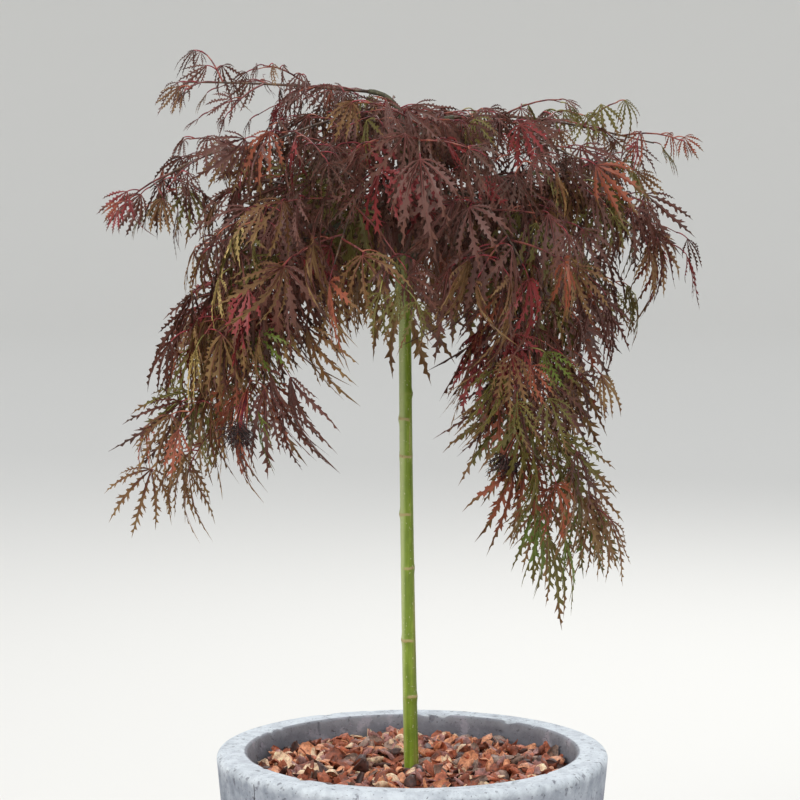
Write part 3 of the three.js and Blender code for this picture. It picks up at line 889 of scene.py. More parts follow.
stem_line = Line(on_stem(0, 0), on_stem(0.55, 0.33), on_stem(0.95, 0.66), on_stem(1, 1))


def smooth_step(value, low, high):
    """0 below `low`, 1 above `high`, and a soft change between them."""
    share = min(1.0, max(0.0, (value - low) / (high - low)))
    return share * share * (3 - 2 * share)


def stem_radius(height):
    """The stem's radius: flared at the foot and swollen at the graft."""
    share = (height - SOIL_TOP) / (STEM["top"] - SOIL_TOP)
    spread = max(0.0, 1 - (height - SOIL_TOP) / STEM["flare_height"]) ** 2
    graft = smooth_step(height, STEM["graft_from"], STEM["graft_full"])
    end = smooth_step(height, STEM["top"] - STEM["top_round"], STEM["top"])
    return (
        lerp(STEM["foot"], STEM["neck"], share)
        + (STEM["flare"] - STEM["foot"]) * spread
        + (STEM["graft"] - STEM["neck"]) * graft
        - STEM["top_narrowing"] * end
    )


print("stem radius at half height:", round(stem_radius(0.5) * 1000, 2), "mm")

# %% [markdown]
# ### Extruding a rod
#
# The same operator chain makes the stem and every bough: a circle, then one extrusion
# per ring, whose points are moved on to the next place along the line. The first and the
# last ring are closed, so each rod is a whole skin.

# %% A rod, extruded ring by ring
def frames_along(points):
    """For each point, two directions across the line that don't twist along it."""
    ahead = np.gradient(points, axis=0)
    ahead /= np.linalg.norm(ahead, axis=1)[:, None]
    across = np.cross(ahead[0], UP)
    if np.linalg.norm(across) < 0.2:
        across = np.array((0.0, 1.0, 0.0))
    pairs = []
    for way in ahead:
        across = unit(across - way * across.dot(way))
        pairs.append((across, np.cross(way, across)))
    return pairs


def next_ring(bm, ring):
    """Extrudes a ring of points, and returns the new ring in the same order."""
    inside = set(ring)
    edges = {edge for vertex in ring for edge in vertex.link_edges if inside.issuperset(edge.verts)}
    out = bmesh.ops.extrude_edge_only(bm, edges=list(edges))["geom"]
    grown = [item for item in out if isinstance(item, bmesh.types.BMVert)]
    return [min(grown, key=lambda new: (new.co - old.co).length) for old in ring]


def extruded_rod(name, points, skin, sides):
    """A closed rod: skin(ring, side) gives the radius at each corner of each ring."""
    bm = bmesh.new()
    ring = list(bmesh.ops.create_circle(bm, segments=sides, radius=1.0, cap_ends=False)["verts"])
    for number, (point, (u, v)) in enumerate(zip(points, frames_along(points))):
        ring = next_ring(bm, ring) if number else ring
        for side, vertex in enumerate(ring):
            angle = math.tau * side / sides
            spoke = math.cos(angle) * u + math.sin(angle) * v
            vertex.co = Vector(point + skin(number, side) * spoke)
        if number in (0, len(points) - 1):
            bm.faces.new(ring)
    bmesh.ops.recalc_face_normals(bm, faces=bm.faces)
    mesh = bpy.data.meshes.new(name)
    bm.to_mesh(mesh)
    bm.free()
    return mesh


STEM_RINGS = 210
STEM_SIDES = 30
RELIEF = {"flats": 0.022, "flats_turn": 5, "grooves": 0.024, "dents": 0.014}


def scar_swelling(height, azimuth):
    """How far the bark stands out round the scars: most on the side of the bud."""
    swelling = 0.0
    for scar, faces in SCARS.items():
        near = math.exp(-(((height - scar) / SCAR["tall"]) ** 2))
        side = 0.5 + 0.5 * math.cos(math.radians(azimuth - faces))
        swelling += near * (SCAR["swell"] * side ** 2)
    return swelling


def stem_mesh():
    """The stem, with three soft flat sides, long shallow grooves and fine dents."""
    points = stem_line.points_at(STEM_RINGS)

    def skin(number, side):
        height = points[number][2]
        angle = math.tau * side / STEM_SIDES
        x, y = math.cos(angle), math.sin(angle)
        soft_flats = RELIEF["flats"] * math.cos(3 * angle + height * RELIEF["flats_turn"])
        grooves = RELIEF["grooves"] * noise.noise(Vector((x * 1.6, y * 1.6, height * 9)))
        dents = RELIEF["dents"] * noise.noise(Vector((x * 4, y * 4, height * 160)))
        swelling = scar_swelling(height, 90 + math.degrees(angle))
        return stem_radius(height) * (1 + soft_flats + grooves + dents) + swelling

    return extruded_rod("stem_bark", points, skin, STEM_SIDES)


stem_shape = stem_mesh()
print("stem faces:", len(stem_shape.polygons))

# %% [markdown]
# ### Green bark
#
# Young bark is smooth and green, with long tan streaks and tiny pale pores. Its left
# side, as seen from the front, gets a painted highlight, and its right side a patchy brown
# that is partly painted shade and partly brown streaks. Stretching the noise along Z turns
# clouds into streaks. The tan lips of the scars could be painted by hand. Here each goes
# by its scar's height, and by the side that its bud faced.

# %% The green bark finish
LIP = {"tall": 0.0017, "sharp": 0.0006, "waver": 0.0090, "round": (0.0012, 0.0046), "faint": 0.10}


def scar_lips(finish, place, waver):
    """1 in a thin wavering band at each scar, most of it on the side of the bud."""
    x, y, height = axes_of(finish, place)
    lips = 0.0
    for scar, azimuth in SCARS.items():
        faces = math.radians(azimuth)
        near_bud = finish.step(x * math.cos(faces) + y * math.sin(faces), *LIP["round"])
        off = height + (waver - 0.5) * LIP["waver"] - scar
        below = finish.step(off, -LIP["tall"], -LIP["sharp"])
        above = finish.step(off, LIP["sharp"], LIP["tall"])
        lips = lips + (below - above) * (LIP["faint"] + near_bud * (1 - LIP["faint"]))
    return lips


def green_bark():
    """Streaky green, with a painted highlight on the left, painted shade and brown on the right, and
    aged at the graft.
    """
    finish = Finish("green_bark", roughness=0.42)
    place = finish.place()
    streaky = finish.cloud(finish.place((1.0, 1.0, 0.045)), 260.0, 3.0, 0.6)
    patchy = finish.cloud(finish.place((1.0, 1.0, 0.35)), 60.0, 4.0, 0.6)
    across, _, height = axes_of(finish, place)
    green = finish.ramp(
        patchy * 0.55 + streaky * 0.45,
        (0.36, paint(92, 112, 20)), (0.5, paint(122, 144, 34)), (0.63, paint(160, 180, 68)),
    )
    # Painted highlight: the stem's left side, as seen from the front, paler and yellower.
    lit_side = finish.step(across, -0.0052, -0.0088)
    with_painted_highlight = finish.blend(lit_side * 0.75, green, paint(196, 206, 144))
    # Painted shade on the stem's right side, in patchy brown, partly also the brown streaks that the
    # bark has there.
    shade_side = finish.step(across, -0.0005, 0.0030) * finish.step(patchy, 0.36, 0.58)
    with_painted_shade = finish.blend(shade_side * 0.55, with_painted_highlight, paint(122, 92, 52))
    streak = finish.step(streaky, 0.58, 0.66) * finish.step(patchy, 0.42, 0.56)
    streaked = finish.blend(streak * 0.6, with_painted_shade, paint(166, 148, 108))
    lips = scar_lips(finish, place, patchy)
    lipped = finish.blend(lips * 0.8, streaked, paint(182, 158, 110))
    graft_line = height + patchy * 0.02
    grafted = finish.step(graft_line, STEM["graft_from"] + 0.012, STEM["graft_full"] + 0.010)
    aged = finish.blend(grafted * 0.55, lipped, paint(112, 108, 62))
    pore = finish.step(finish.cloud(finish.place((1.0, 1.0, 0.5)), 700.0, 1.0), 0.68, 0.73)
    finish.wear("Base Color", finish.blend(pore * 0.7, aged, paint(210, 208, 164)))
    finish.wear("Roughness", 0.40 + patchy * 0.16)
    finish.bump(streaky * 0.5 + pore * 0.3 + lips * 0.3, 0.0006)
    return finish


stem = placed("stem_bark", stem_shape, green_bark())
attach(stem, "root")
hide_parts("stem")
print("stem finish done")

# %% [markdown]
# ### Bud scars
#
# Where a side bud was rubbed off, the bark closed over it and left a small raised eye
# with a tan rim. A painted mark has no edge in side light. Each eye here is a small
# flattened ball, sunk half into the bark, whose pole is pressed in with the ring round it.

# %% The scars' eyes
EYE_SIZE = (0.0030, 0.0021, 0.0011)
EYE_SEGMENTS = 14
EYE_RINGS = 8
EYE_SUNK = 0.0002
EYE_PRESSED = 0.0006
CORK = ((0.35, paint(96, 84, 50)), (0.55, paint(160, 138, 94)), (0.7, paint(196, 178, 136)))


def eye_mesh():
    """All the eyes as one mesh."""
    bm = bmesh.new()
    for height, azimuth in SCARS.items():
        centre = stem_line.at((height - STEM["base"]) / (STEM["top"] - STEM["base"]))
        outward = around(azimuth, (1.0, 0.0))
        at = Vector(centre + outward * (stem_radius(height) - EYE_SUNK))
        outward = Vector(outward)
        face_out = outward.to_track_quat("Z", "Y").to_matrix().to_4x4()
        size = Matrix.Diagonal((*EYE_SIZE, 1.0))
        made = bmesh.ops.create_uvsphere(
            bm, u_segments=EYE_SEGMENTS, v_segments=EYE_RINGS, radius=1.0,
            matrix=Matrix.Translation(at) @ face_out @ size,
        )
        outermost = sorted(made["verts"], key=lambda v: -(v.co - at).dot(outward))
        for vertex in outermost[:1 + EYE_SEGMENTS]:
            vertex.co -= outward * EYE_PRESSED
    mesh = bpy.data.meshes.new("stem_eyes")
    bm.to_mesh(mesh)
    bm.free()
    return mesh


eyes = placed("stem_eyes", eye_mesh(), mottled("corky_scar", 0.8, (900.0, 3.0), CORK, depth=0.0004))
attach(eyes, "root")
print("eyes:", len(SCARS))

# %% [markdown]
# ## Boughs
#
# The crown rests on a fan of thin boughs that leave the graft, rise, and arch over. Each
# has its own foot, crest and droop, so they are a table of sizes, the same as the CAD
# solids were made from. A bough that leaves another one names it.

# %% The boughs' sizes
BOUGH = {
    "main_foot": 0.0033, "main_tip": 0.0019, "fork_foot": 0.0024, "fork_tip": 0.0017,
    "main_rise": 0.75, "fork_rise": 0.35, "rings": 34, "sides": 10, "ring_pitch": 0.027,
}
HANDLES = {
    # how the curves bend: shares of a bough's span, and of its shoot's reach and drop
    "leave": 0.42, "arrive": 0.36, "arrive_below": 0.02,
    "onward": 0.45, "onward_less": 0.3, "end_above": 0.5, "end_out": 0.2, "end_in": 0.32,
}
MM = 0.001
BOUGHS = {
    # name: what it leaves, where (mm up the stem, or a share of that bough), azimuth,
    # crest and droop's end (mm out and up), degrees that the droop sweeps, leaf size
    "right_weeping": ("stem", 706, -16, (84, 796), (118, 506), -2, 1.0),
    "right_top": ("stem", 724, 14, (36, 846), (212, 824), -4, 0.7),
    "back_top": ("stem", 715, 98, (28, 846), (166, 830), 6, 0.85),
    "left_top": ("stem", 733, 168, (38, 868), (196, 876), 4, 0.7),
    "left_weeping": ("stem", 710, 188, (98, 798), (178, 560), 4, 1.0),
    "front_left": ("stem", 719, 244, (70, 792), (156, 728), 2, 0.95),
    "front_right": ("stem", 700, 300, (70, 786), (158, 728), 4, 0.95),
    "right_outer": ("right_weeping", 0.62, 8, (130, 800), (206, 740), 2, 0.85),
    "right_inner": ("front_right", 0.6, -34, (110, 738), (114, 612), -4, 0.9),
    "right_back": ("right_weeping", 0.4, 46, (96, 780), (184, 690), -4, 1.0),
    "back": ("back_top", 0.4, 90, (80, 776), (184, 700), 2, 1.0),
    "back_left": ("left_weeping", 0.4, 134, (96, 780), (190, 690), 2, 1.0),
    "left_outer": ("left_weeping", 0.62, 172, (140, 820), (226, 786), 4, 0.75),
    "left_inner": ("front_left", 0.6, 208, (108, 744), (140, 612), -4, 0.95),
    "front_top": ("front_right", 0.4, 276, (30, 842), (150, 818), -4, 0.85),
    "left_front_top": ("left_top", 0.4, 220, (36, 846), (156, 826), 2, 0.85),
    "right_front_top": ("right_top", 0.4, 326, (36, 838), (160, 812), 4, 0.85),
}


def bough_line(root, azimuth, crest, rise):
    """Up and out from the root, and level where it reaches its crest."""
    across = crest - root
    span = np.linalg.norm(across)
    leave = unit(across / span + UP * rise)
    out = around(azimuth, (1, 0))
    return Line(
        root,
        root + leave * span * HANDLES["leave"],
        crest - out * span * HANDLES["arrive"] - UP * span * HANDLES["arrive_below"],
        crest,
    )


def shoot_line(line, azimuth, end):
    """On from the bough's tip, over, and down to the droop's end."""
    onward = line.way(1.0)
    start = line.at(1.0)
    out = around(azimuth, (1, 0))
    reach = np.linalg.norm(end - start)
    drop = max(0.0, start[2] - end[2])
    return Line(
        start,
        start + onward * (reach * HANDLES["onward"] - drop * HANDLES["onward_less"]),
        end + UP * drop * HANDLES["end_above"]
        + out * (drop * HANDLES["end_out"] - reach * HANDLES["end_in"]),
        end,
    )


def grown_boughs():
    """Every bough's and shoot's line and size, in the table's order."""
    grown = {}
    for index, (name, sizes) in enumerate(BOUGHS.items()):
        leaves, at, azimuth, crest, end, sweep, size = sizes
        main = leaves == "stem"
        share = (at * MM - STEM["base"]) / (STEM["top"] - STEM["base"])
        root = stem_line.at(share) if main else grown[leaves]["line"].at(at)
        crest = around(azimuth, [value * MM for value in crest])
        line = bough_line(root, azimuth, crest, BOUGH["main_rise" if main else "fork_rise"])
        turned_end = around(azimuth + sweep, [value * MM for value in end])
        grown[name] = {
            "index": index, "azimuth": azimuth, "size": size, "line": line,
            "shoot": shoot_line(line, azimuth + sweep, turned_end),
            "foot": BOUGH["main_foot" if main else "fork_foot"],
            "tip": BOUGH["main_tip" if main else "fork_tip"],
        }
    return grown


boughs = grown_boughs()
print("boughs:", len(boughs), "longest:", round(max(b["line"].length for b in boughs.values()), 3), "m")

# %% [markdown]
# ### Bark on the boughs
#
# Older boughs are dark grey-green, knotted at every old leaf pair, and slightly crooked.
# They are extruded in the same way as the stem, with a small swelling at every node and
# dents in between. Each one is an object of its own, named for the solid it stands for.

# %% Bough skins
KNOT = {"swell": 0.26, "long": 0.0022}
COLLAR = {"swell": 0.35, "long": 0.006}
BOUGH_DENTS = 0.10


def bough_mesh(name, bough):
    """A bough's skin, thicker at its foot and at every node, with dents in between."""
    points = bough["line"].points_at(BOUGH["rings"])
    length = bough["line"].length

    def skin(number, side):
        share = number / (BOUGH["rings"] - 1)
        radius = lerp(bough["foot"], bough["tip"], share)
        along = share * length / BOUGH["ring_pitch"]
        knot = math.exp(-((((along % 1) - 0.5) * BOUGH["ring_pitch"] / KNOT["long"]) ** 2))
        collar = math.exp(-((share * length / COLLAR["long"]) ** 2))
        dent = noise.noise(Vector((side * 0.7, number * 0.45, bough["index"] * 3.1)))
        swell = KNOT["swell"] * knot + COLLAR["swell"] * collar
        return radius * (1 + swell + BOUGH_DENTS * dent)

    return extruded_rod("bark_" + name, points, skin, BOUGH["sides"])


def dark_bark():
    """Dark grey-green, with paler pores."""
    finish = Finish("dark_bark", roughness=0.62)
    place = finish.place()
    patchy = finish.cloud(place, 70.0, 4.0, 0.6)
    fine = finish.cloud(place, 520.0, 3.0)
    bark = finish.ramp(
        patchy * 0.7 + fine * 0.3,
        (0.34, paint(40, 36, 26)), (0.5, paint(66, 64, 44)), (0.64, paint(96, 92, 62)),
    )
    pore = finish.step(fine, 0.64, 0.70)
    finish.wear("Base Color", finish.blend(pore * 0.5, bark, paint(150, 140, 112)))
    finish.bump(fine * 0.5 + patchy * 0.5, 0.0005)
    return finish


bark = dark_bark()
for name, bough in boughs.items():
    thing = placed("bark_" + name, bough_mesh(name, bough), bark)
    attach(thing, "root")
    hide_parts("bough_" + name)
print("bough skins:", len(boughs))

# %% [markdown]
# ## A finely cut leaf
#
# The leaf is a hand of five or seven lobes, and each lobe is cut again into sharp teeth
# that point to its tip, with a long drawn-out end. A picture of a leaf on a card would
# need a cut-out texture. Here each lobe is a few flat faces of many corners, so the
# outline itself is the lace. Its two edges are laid out by one rule, but their teeth
# alternate and no two are alike. Then the lobe is sized, turned and bent for each finger
# of the hand.

# %% One edge of a lobe
TEETH = 7
LOBE = {
    "first_tooth": 0.17, "last_tooth": 0.83, "alternate": 0.25, "stalk": 0.009, "end": (0.93, 0.006),
}
# A tooth's corners are shares of its reach, along its slanted line and off it.
TOOTH = {"lean": 31, "tip": 1.3, "barbed": (1, 2, 3, 4)}
BARB = ((0.34, 0.03), (0.82, 0.24), (0.70, 0.03))
# The two ends between which a leaf is cut: toothed like a saw, and fine as lace.
CUT = {"blade": (0.040, 0.018), "reach": (0.076, 0.098), "root": (0.80, 0.54)}
PITCH = (LOBE["last_tooth"] - LOBE["first_tooth"]) / (TEETH - 1)
SECTIONS = ((0, 1, 2), (3, 4), (5, 6))
UNEVEN = (0.35, 1.40)


def tooth_foot(tooth, hand):
    """Where a tooth leaves the blade. The two edges' teeth alternate."""
    return LOBE["first_tooth"] + PITCH * (tooth + LOBE["alternate"] * hand)


def blade_width(along, cut):
    """Half of the blade's width between the teeth: a narrow stalk, a waist and a tip."""
    swell = max(0.0, math.sin(math.pi * min(1.0, max(0.0, (along - 0.06) / 0.94)))) ** 0.9
    return LOBE["stalk"] * (1 - along) + lerp(*CUT["blade"], cut) * swell * (1 - 0.45 * along)


def tooth_edge(tooth, hand, cut, draw):
    """One tooth's corners. A long one has a barb on the edge towards the leaf's foot."""
    foot = tooth_foot(tooth, hand)
    width = blade_width(foot, cut)
    longest = lerp(*CUT["reach"], cut) * lerp(*UNEVEN, draw)
    reach = longest * math.sin(math.pi * (foot - 0.08) / 0.86) ** 0.8
    lean = math.radians(TOOTH["lean"])
    ahead, aside = math.cos(lean), math.sin(lean)

    def on_tooth(share, off):
        along = foot + reach * (share * ahead - off * aside)
        return along, width + reach * (share * aside + off * ahead)

    barb = [on_tooth(*corner) for corner in BARB if tooth in TOOTH["barbed"]]
    root = foot + PITCH * lerp(*CUT["root"], cut)
    return [(foot, width), *barb, on_tooth(TOOTH["tip"], 0.0), (root, blade_width(root, cut))]


print("a tooth of a fine leaf:", [(round(a, 3), round(w, 3)) for a, w in tooth_edge(2, 1, 1.0, 0.5)])

# %% The lobe and the hand
HANDS = [
    # spread: how wide the lobes open, droop: how far they bend, fold: how far they close,
    # cut: from a toothed blade at 0 to lace at 1. The broader hands come first.
    {"spread": 1.20, "droop": 0.30, "fold": 0.10, "lobes": 7, "cut": 0.35},
    {"spread": 0.95, "droop": 0.45, "fold": 0.25, "lobes": 7, "cut": 0.55},
    {"spread": 0.75, "droop": 0.20, "fold": 0.40, "lobes": 7, "cut": 0.20},
    {"spread": 1.05, "droop": 0.60, "fold": 0.18, "lobes": 7, "cut": 0.60},
    {"spread": 0.85, "droop": 0.10, "fold": 0.30, "lobes": 5, "cut": 0.40},
    {"spread": 1.25, "droop": 0.35, "fold": 0.15, "lobes": 7, "cut": 0.85},
    {"spread": 0.80, "droop": 0.50, "fold": 0.30, "lobes": 7, "cut": 1.00},
    {"spread": 1.00, "droop": 0.15, "fold": 0.22, "lobes": 5, "cut": 0.95},
    {"spread": 1.10, "droop": 0.42, "fold": 0.12, "lobes": 7, "cut": 0.90},
    {"spread": 0.60, "droop": 0.20, "fold": 0.20, "lobes": 5, "cut": 0.80},
]
BROAD_HANDS = 5
FINGERS = {7: (-84, -57, -28, 0, 28, 57, 84), 5: (-66, -33, 0, 33, 66)}
FINGER_REACH = {0: 1.0, 28: 0.93, 33: 0.88, 57: 0.76, 66: 0.62, 84: 0.46}
FINGER = {
    # how much fingers differ, and how they close in, wave and rise towards the hand's sides
    "reach": (0.88, 1.08), "turn": 8, "sag": 0.6, "more_sag": 0.8, "close_in": 0.30,
    "fold": 1.1, "wave": 0.05, "waves": 5, "raised": 0.16,
}
# A face that reaches further than this along its lobe is one of the tip's.
TIP_FROM = 0.99


def stops_of(hand):
    """Where the sections of one side of a lobe begin and end."""
    return [0.0, *[tooth_foot(section[0], hand) for section in SECTIONS[1:]], 1.0]


def flat_lobe(bm, cut, *keys):
    """A lobe 1 long, along X: three sections on each side of its rib."""
    rib = sorted({*stops_of(-1), *stops_of(1)})
    for hand in (-1, 1):
        stops = stops_of(hand)
        for number, section in enumerate(SECTIONS):
            start, stop = stops[number:number + 2]
            edge = [(0.0, LOBE["stalk"])] if number == 0 else []
            for tooth in section:
                edge += tooth_edge(tooth, hand, cut, chance(tooth, hand, *keys))
            edge.append(LOBE["end"] if stop == 1.0 else (stop, blade_width(stop, cut)))
            middle = [(along, 0.0) for along in rib if start <= along <= stop]
            corners = [(along, out * hand) for along, out in (*middle, *reversed(edge))]
            face = bm.faces.new([bm.verts.new((along, out, 0.0)) for along, out in corners])
            if hand < 0:
                face.normal_flip()
    bmesh.ops.remove_doubles(bm, verts=bm.verts, dist=1e-6)


def bent(along, out, finger, hand, number):
    """Where a point of the flat lobe comes to lie on the hanging leaf."""
    reach = FINGER_REACH[abs(finger)] * lerp(*FINGER["reach"], chance(number, finger, 2))
    turn = FINGER["turn"] * (chance(number, finger, 3) - 0.5)
    first = math.radians(finger * hand["spread"] + turn)
    angle = first * (1 - FINGER["close_in"] * along)
    distance = reach * along
    x = distance * math.cos(angle) - out * reach * math.sin(angle)
    y = distance * math.sin(angle) + out * reach * math.cos(angle)
    sag = FINGER["sag"] + FINGER["more_sag"] * chance(number, finger, 4)
    down = hand["droop"] * distance ** 2 * sag
    closed = hand["fold"] * abs(out) * FINGER["fold"]
    phase = 6 * chance(number, finger, 5)
    wave = FINGER["wave"] * math.sin(FINGER["waves"] * along + phase) * along
    return x, y, down - closed + wave + FINGER["raised"] * distance * math.sin(abs(first))


def lobe_shape(cut, *keys):
    """The flat lobe's points and faces, and which faces are at its tip."""
    bm = bmesh.new()
    flat_lobe(bm, cut, *keys)
    bm.verts.index_update()
    points = [vertex.co.copy() for vertex in bm.verts]
    faces = [[vertex.index for vertex in face.verts] for face in bm.faces]
    bm.free()
    return points, faces, [max(points[i].x for i in face) > TIP_FROM for face in faces]


def hand_shape(hand, number):
    """One leaf of length 1, its middle lobe along X: its inner and outer faces."""
    points, inner_faces, outer_faces = [], [], []
    for finger in FINGERS[hand["lobes"]]:
        lobe_points, lobe_faces, at_tip = lobe_shape(hand["cut"], number, finger)
        before = len(points)
        points += [bent(p.x, p.y, finger, hand, number) for p in lobe_points]
        for face, tip in zip(lobe_faces, at_tip):
            (outer_faces if tip else inner_faces).append([before + i for i in face])
    return np.array(points), inner_faces, outer_faces


hands = [hand_shape(hand, number) for number, hand in enumerate(HANDS)]
print("faces of each leaf:", [len(inner) + len(outer) for _, inner, outer in hands])

# %% [markdown]
# ### Ribs
#
# Each lobe has a fine rib, pink on a dark leaf and yellow-green on a green one, and it
# is what the eye follows in a hanging leaf. A painted line would blur away at this size.
# Each rib is a rod with three sides that follows its lobe and ends before the lobe's tip.

# %% Ribs of a leaf
RIB = {"foot": 0.0068, "tip": 0.00176, "until": 0.86, "rings": 4, "sides": 3}


def tube_faces(rings, sides):
    """The faces of a tube whose points are counted ring by ring, with closed ends."""
    walls = []
    for ring in range(rings - 1):
        for side in range(sides):
            low, beside = ring * sides + side, ring * sides + (side + 1) % sides
            walls.append([low, beside, beside + sides, low + sides])
    last = (rings - 1) * sides
    return walls + [list(range(sides))[::-1], list(range(last, last + sides))]


def rib_shape(hand, number):
    """The ribs of one leaf as (points, faces)."""
    points, faces = [], []
    for finger in FINGERS[hand["lobes"]]:
        before = len(points)
        angle = math.radians(finger)
        for ring in range(RIB["rings"]):
            share = ring / (RIB["rings"] - 1)
            x, y, z = bent(RIB["until"] * share, 0.0, finger, hand, number)
            radius = lerp(RIB["foot"], RIB["tip"], share)
            for corner in range(RIB["sides"]):
                turn = math.tau * corner / RIB["sides"]
                side, rise = radius * math.cos(turn), radius * math.sin(turn)
                points.append((x - side * math.sin(angle), y + side * math.cos(angle), z + rise))
        faces += [[before + i for i in face] for face in tube_faces(RIB["rings"], RIB["sides"])]
    return np.array(points), faces


ribs = [rib_shape(hand, number) for number, hand in enumerate(HANDS)]
print("faces of the ribs:", [len(faces) for _, faces in ribs])

# %% [markdown]
# ## The crown
#
# A shoot carries on from each bough's tip and droops. At every node it bears a pair of
# twigs, and each twig bears leaves in pairs, one at its end, and twiglets with a leaf of
# their own, all on long stalks. Short leafy spurs on the boughs close the crown's roof.
# Placing them by hand would take weeks, and a particle system can't be exported. So the
# crown is grown by a rule: a node's numbers go through `chance`, which always gives the
# same answer, so the crown is the same in every run.

# %% The rule's sizes
SHOOT = {
    "foot": 0.0015, "tip": 0.0007, "pitch": 0.038, "first": 0.25, "stagger": 0.06, "rings": 26,
    "sides": 8, "fewest_nodes": 3, "last_leaf": 0.99,
}
TWIG = {
    # roll: degrees lifted from sideways, split: degrees away from the shoot
    "foot": 0.00095, "tip": 0.00055, "length": (0.040, 0.074), "roll": (-20, 50),
    "split": (50, 78), "bend": 0.55, "reach": 0.94, "sag": 0.2, "rings": 6, "sides": 6,
    "last_leaf": 0.97,
}
TWIGLET = {
    "foot": 0.0006, "tip": 0.0004, "length": (0.016, 0.032), "at": (0.36, 0.66), "bend": 0.5,
    "sag": 0.3, "rings": 4, "sides": 5,
}
SPUR = {"from": 0.40, "until": 0.98, "pitch": 0.016, "length": (0.012, 0.030), "second_leaf": 0.5}
LEAF = {
    # shrink: the power that a bough's leaf size is raised to, lacy: the share of lacy hands
    "length": 0.082, "stalk": 0.020, "sway": 1.8, "sizes": (0.62, 1.0), "twist": 1.4,
    "hang": (0.35, 1.15), "at_tip": 1.1, "shrink": 1.9, "steeper": 0.8,
    "lacy_below": 0.66, "lacy": {"above": 0.35, "below": 0.9},
}
# Where a twig's side leaves sit: the share of its length, and the hand.
LEAF_SPOTS = ((0.30, -1), (0.34, 1), (0.62, 1), (0.66, -1), (0.88, -1), (0.90, 1))

print("a leaf's lobe is at most", round(LEAF["length"] * LEAF["sizes"][1] * 1000), "mm long")

# %% [markdown]
# ### Which way things grow
#
# A twig leaves its shoot sideways, forwards and a little up or down. A leaf hangs from
# its palm with its middle lobe down and its upper face out, and no two are turned alike.
# Euler angles would need a case for every bough. Cross products give the same three
# directions for all of them: along, across, and out of the leaf.

# %% The ways of twigs and leaves
SIDE_STALK = {"ahead": 0.5, "aside": 0.8, "up": 0.15}
LEAF_WAY = {"ahead": 0.45, "out": 0.3, "face_up": 0.6}


def twig_line(bough, node, hand, share):
    """The twig on one hand of a shoot's node: out, forward and down a little."""
    start, along = bough["shoot"].at(share), bough["shoot"].way(share)
    out = around(bough["azimuth"], (1, 0))
    side = np.cross(UP, out)
    outer = unit(np.cross(side, along))
    if outer @ (out + UP) < 0:
        outer = -outer
    index = bough["index"]
    roll = math.radians(lerp(*TWIG["roll"], chance(index, node, hand, 1)))
    split = math.radians(lerp(*TWIG["split"], chance(index, node, hand, 2)))
    length = lerp(*TWIG["length"], chance(index, node, hand, 3))
    spread = side * hand * math.cos(roll) + outer * math.sin(roll)
    way = along * math.cos(split) + spread * math.sin(split)
    end = start + way * length * TWIG["reach"] - UP * length * TWIG["sag"]
    return Line(start, start + way * length * TWIG["bend"], end, pieces=8)


def leaf_frame(root, way, turn, hang, twist, length):
    """The palm of a leaf, and its three directions: down the middle lobe, across, through."""
    palm = root + way * LEAF["stalk"] * (length / LEAF["length"])
    facing = math.atan2(palm[1], palm[0]) + turn
    out = np.array((math.cos(facing), math.sin(facing), 0.0))
    axis = unit(way * (1, 1, 0) * LEAF_WAY["ahead"] + out * LEAF_WAY["out"] - UP * hang)
    side = unit(np.cross(axis, out + UP * LEAF_WAY["face_up"]))
    normal = np.cross(axis, side)
    side, normal = (
        side * math.cos(twist) + normal * math.sin(twist),
        normal * math.cos(twist) - side * math.sin(twist),
    )
    return palm, np.array((axis, side, normal))


def side_way(way, hand):
    """The direction of a leaf stalk on one hand of a twig."""
    across = unit(np.cross(way, UP))
    aside = across * SIDE_STALK["aside"] * hand
    return unit(way * SIDE_STALK["ahead"] + aside + UP * SIDE_STALK["up"])


print("a stalk leaves a level twig towards", side_way(np.array((1.0, 0.0, 0.0)), 1).round(2))

# %% [markdown]
# ### Bearing a leaf
#
# A leaf's size, turn and hang are drawn anew for each leaf. Towards a shoot's tip leaves
# are a little larger, and where the shoot droops they hang steeper. A leaf that would
# reach too far from its shoot is made smaller, so that the masses keep their girth. One
# that would hang in the open space round the stem isn't borne at all: taking it away
# afterwards would leave its stalk.

# %% One leaf
GIRTH = {"foot": 0.075, "tip": 0.068, "least": 0.55}
HOLLOW = {"radius": 0.072, "top": 0.672, "widens": 0.38, "leans": -0.36}
crown = {"twigs": [], "twiglets": [], "shoots": [], "leaves": []}


def in_hollow(spot):
    """Whether a point is in the open space round the stem, a cone that leans to the left."""
    below = HOLLOW["top"] - spot[2]
    off = math.hypot(spot[0] - HOLLOW["leans"] * below, spot[1])
    return below > 0 and off < HOLLOW["radius"] + HOLLOW["widens"] * below


def standing(bough, line, share, *place):
    """What the leaves of one twig need to know about where it stands."""
    return {
        "index": bough["index"], "size": bough["size"], "share": share, "heart": line.at(share),
        "steepness": max(0.0, -line.way(share)[2]), "spray": (bough["index"], *place),
    }


def within_girth(stand, palm, along, length):
    """The leaf's length, made less where it would reach too far from its shoot."""
    girth = lerp(GIRTH["foot"], GIRTH["tip"], stand["share"]) * stand["size"]
    reach = math.dist((palm + along * length)[:2], stand["heart"][:2])
    return length * min(1.0, max(GIRTH["least"], girth / reach))


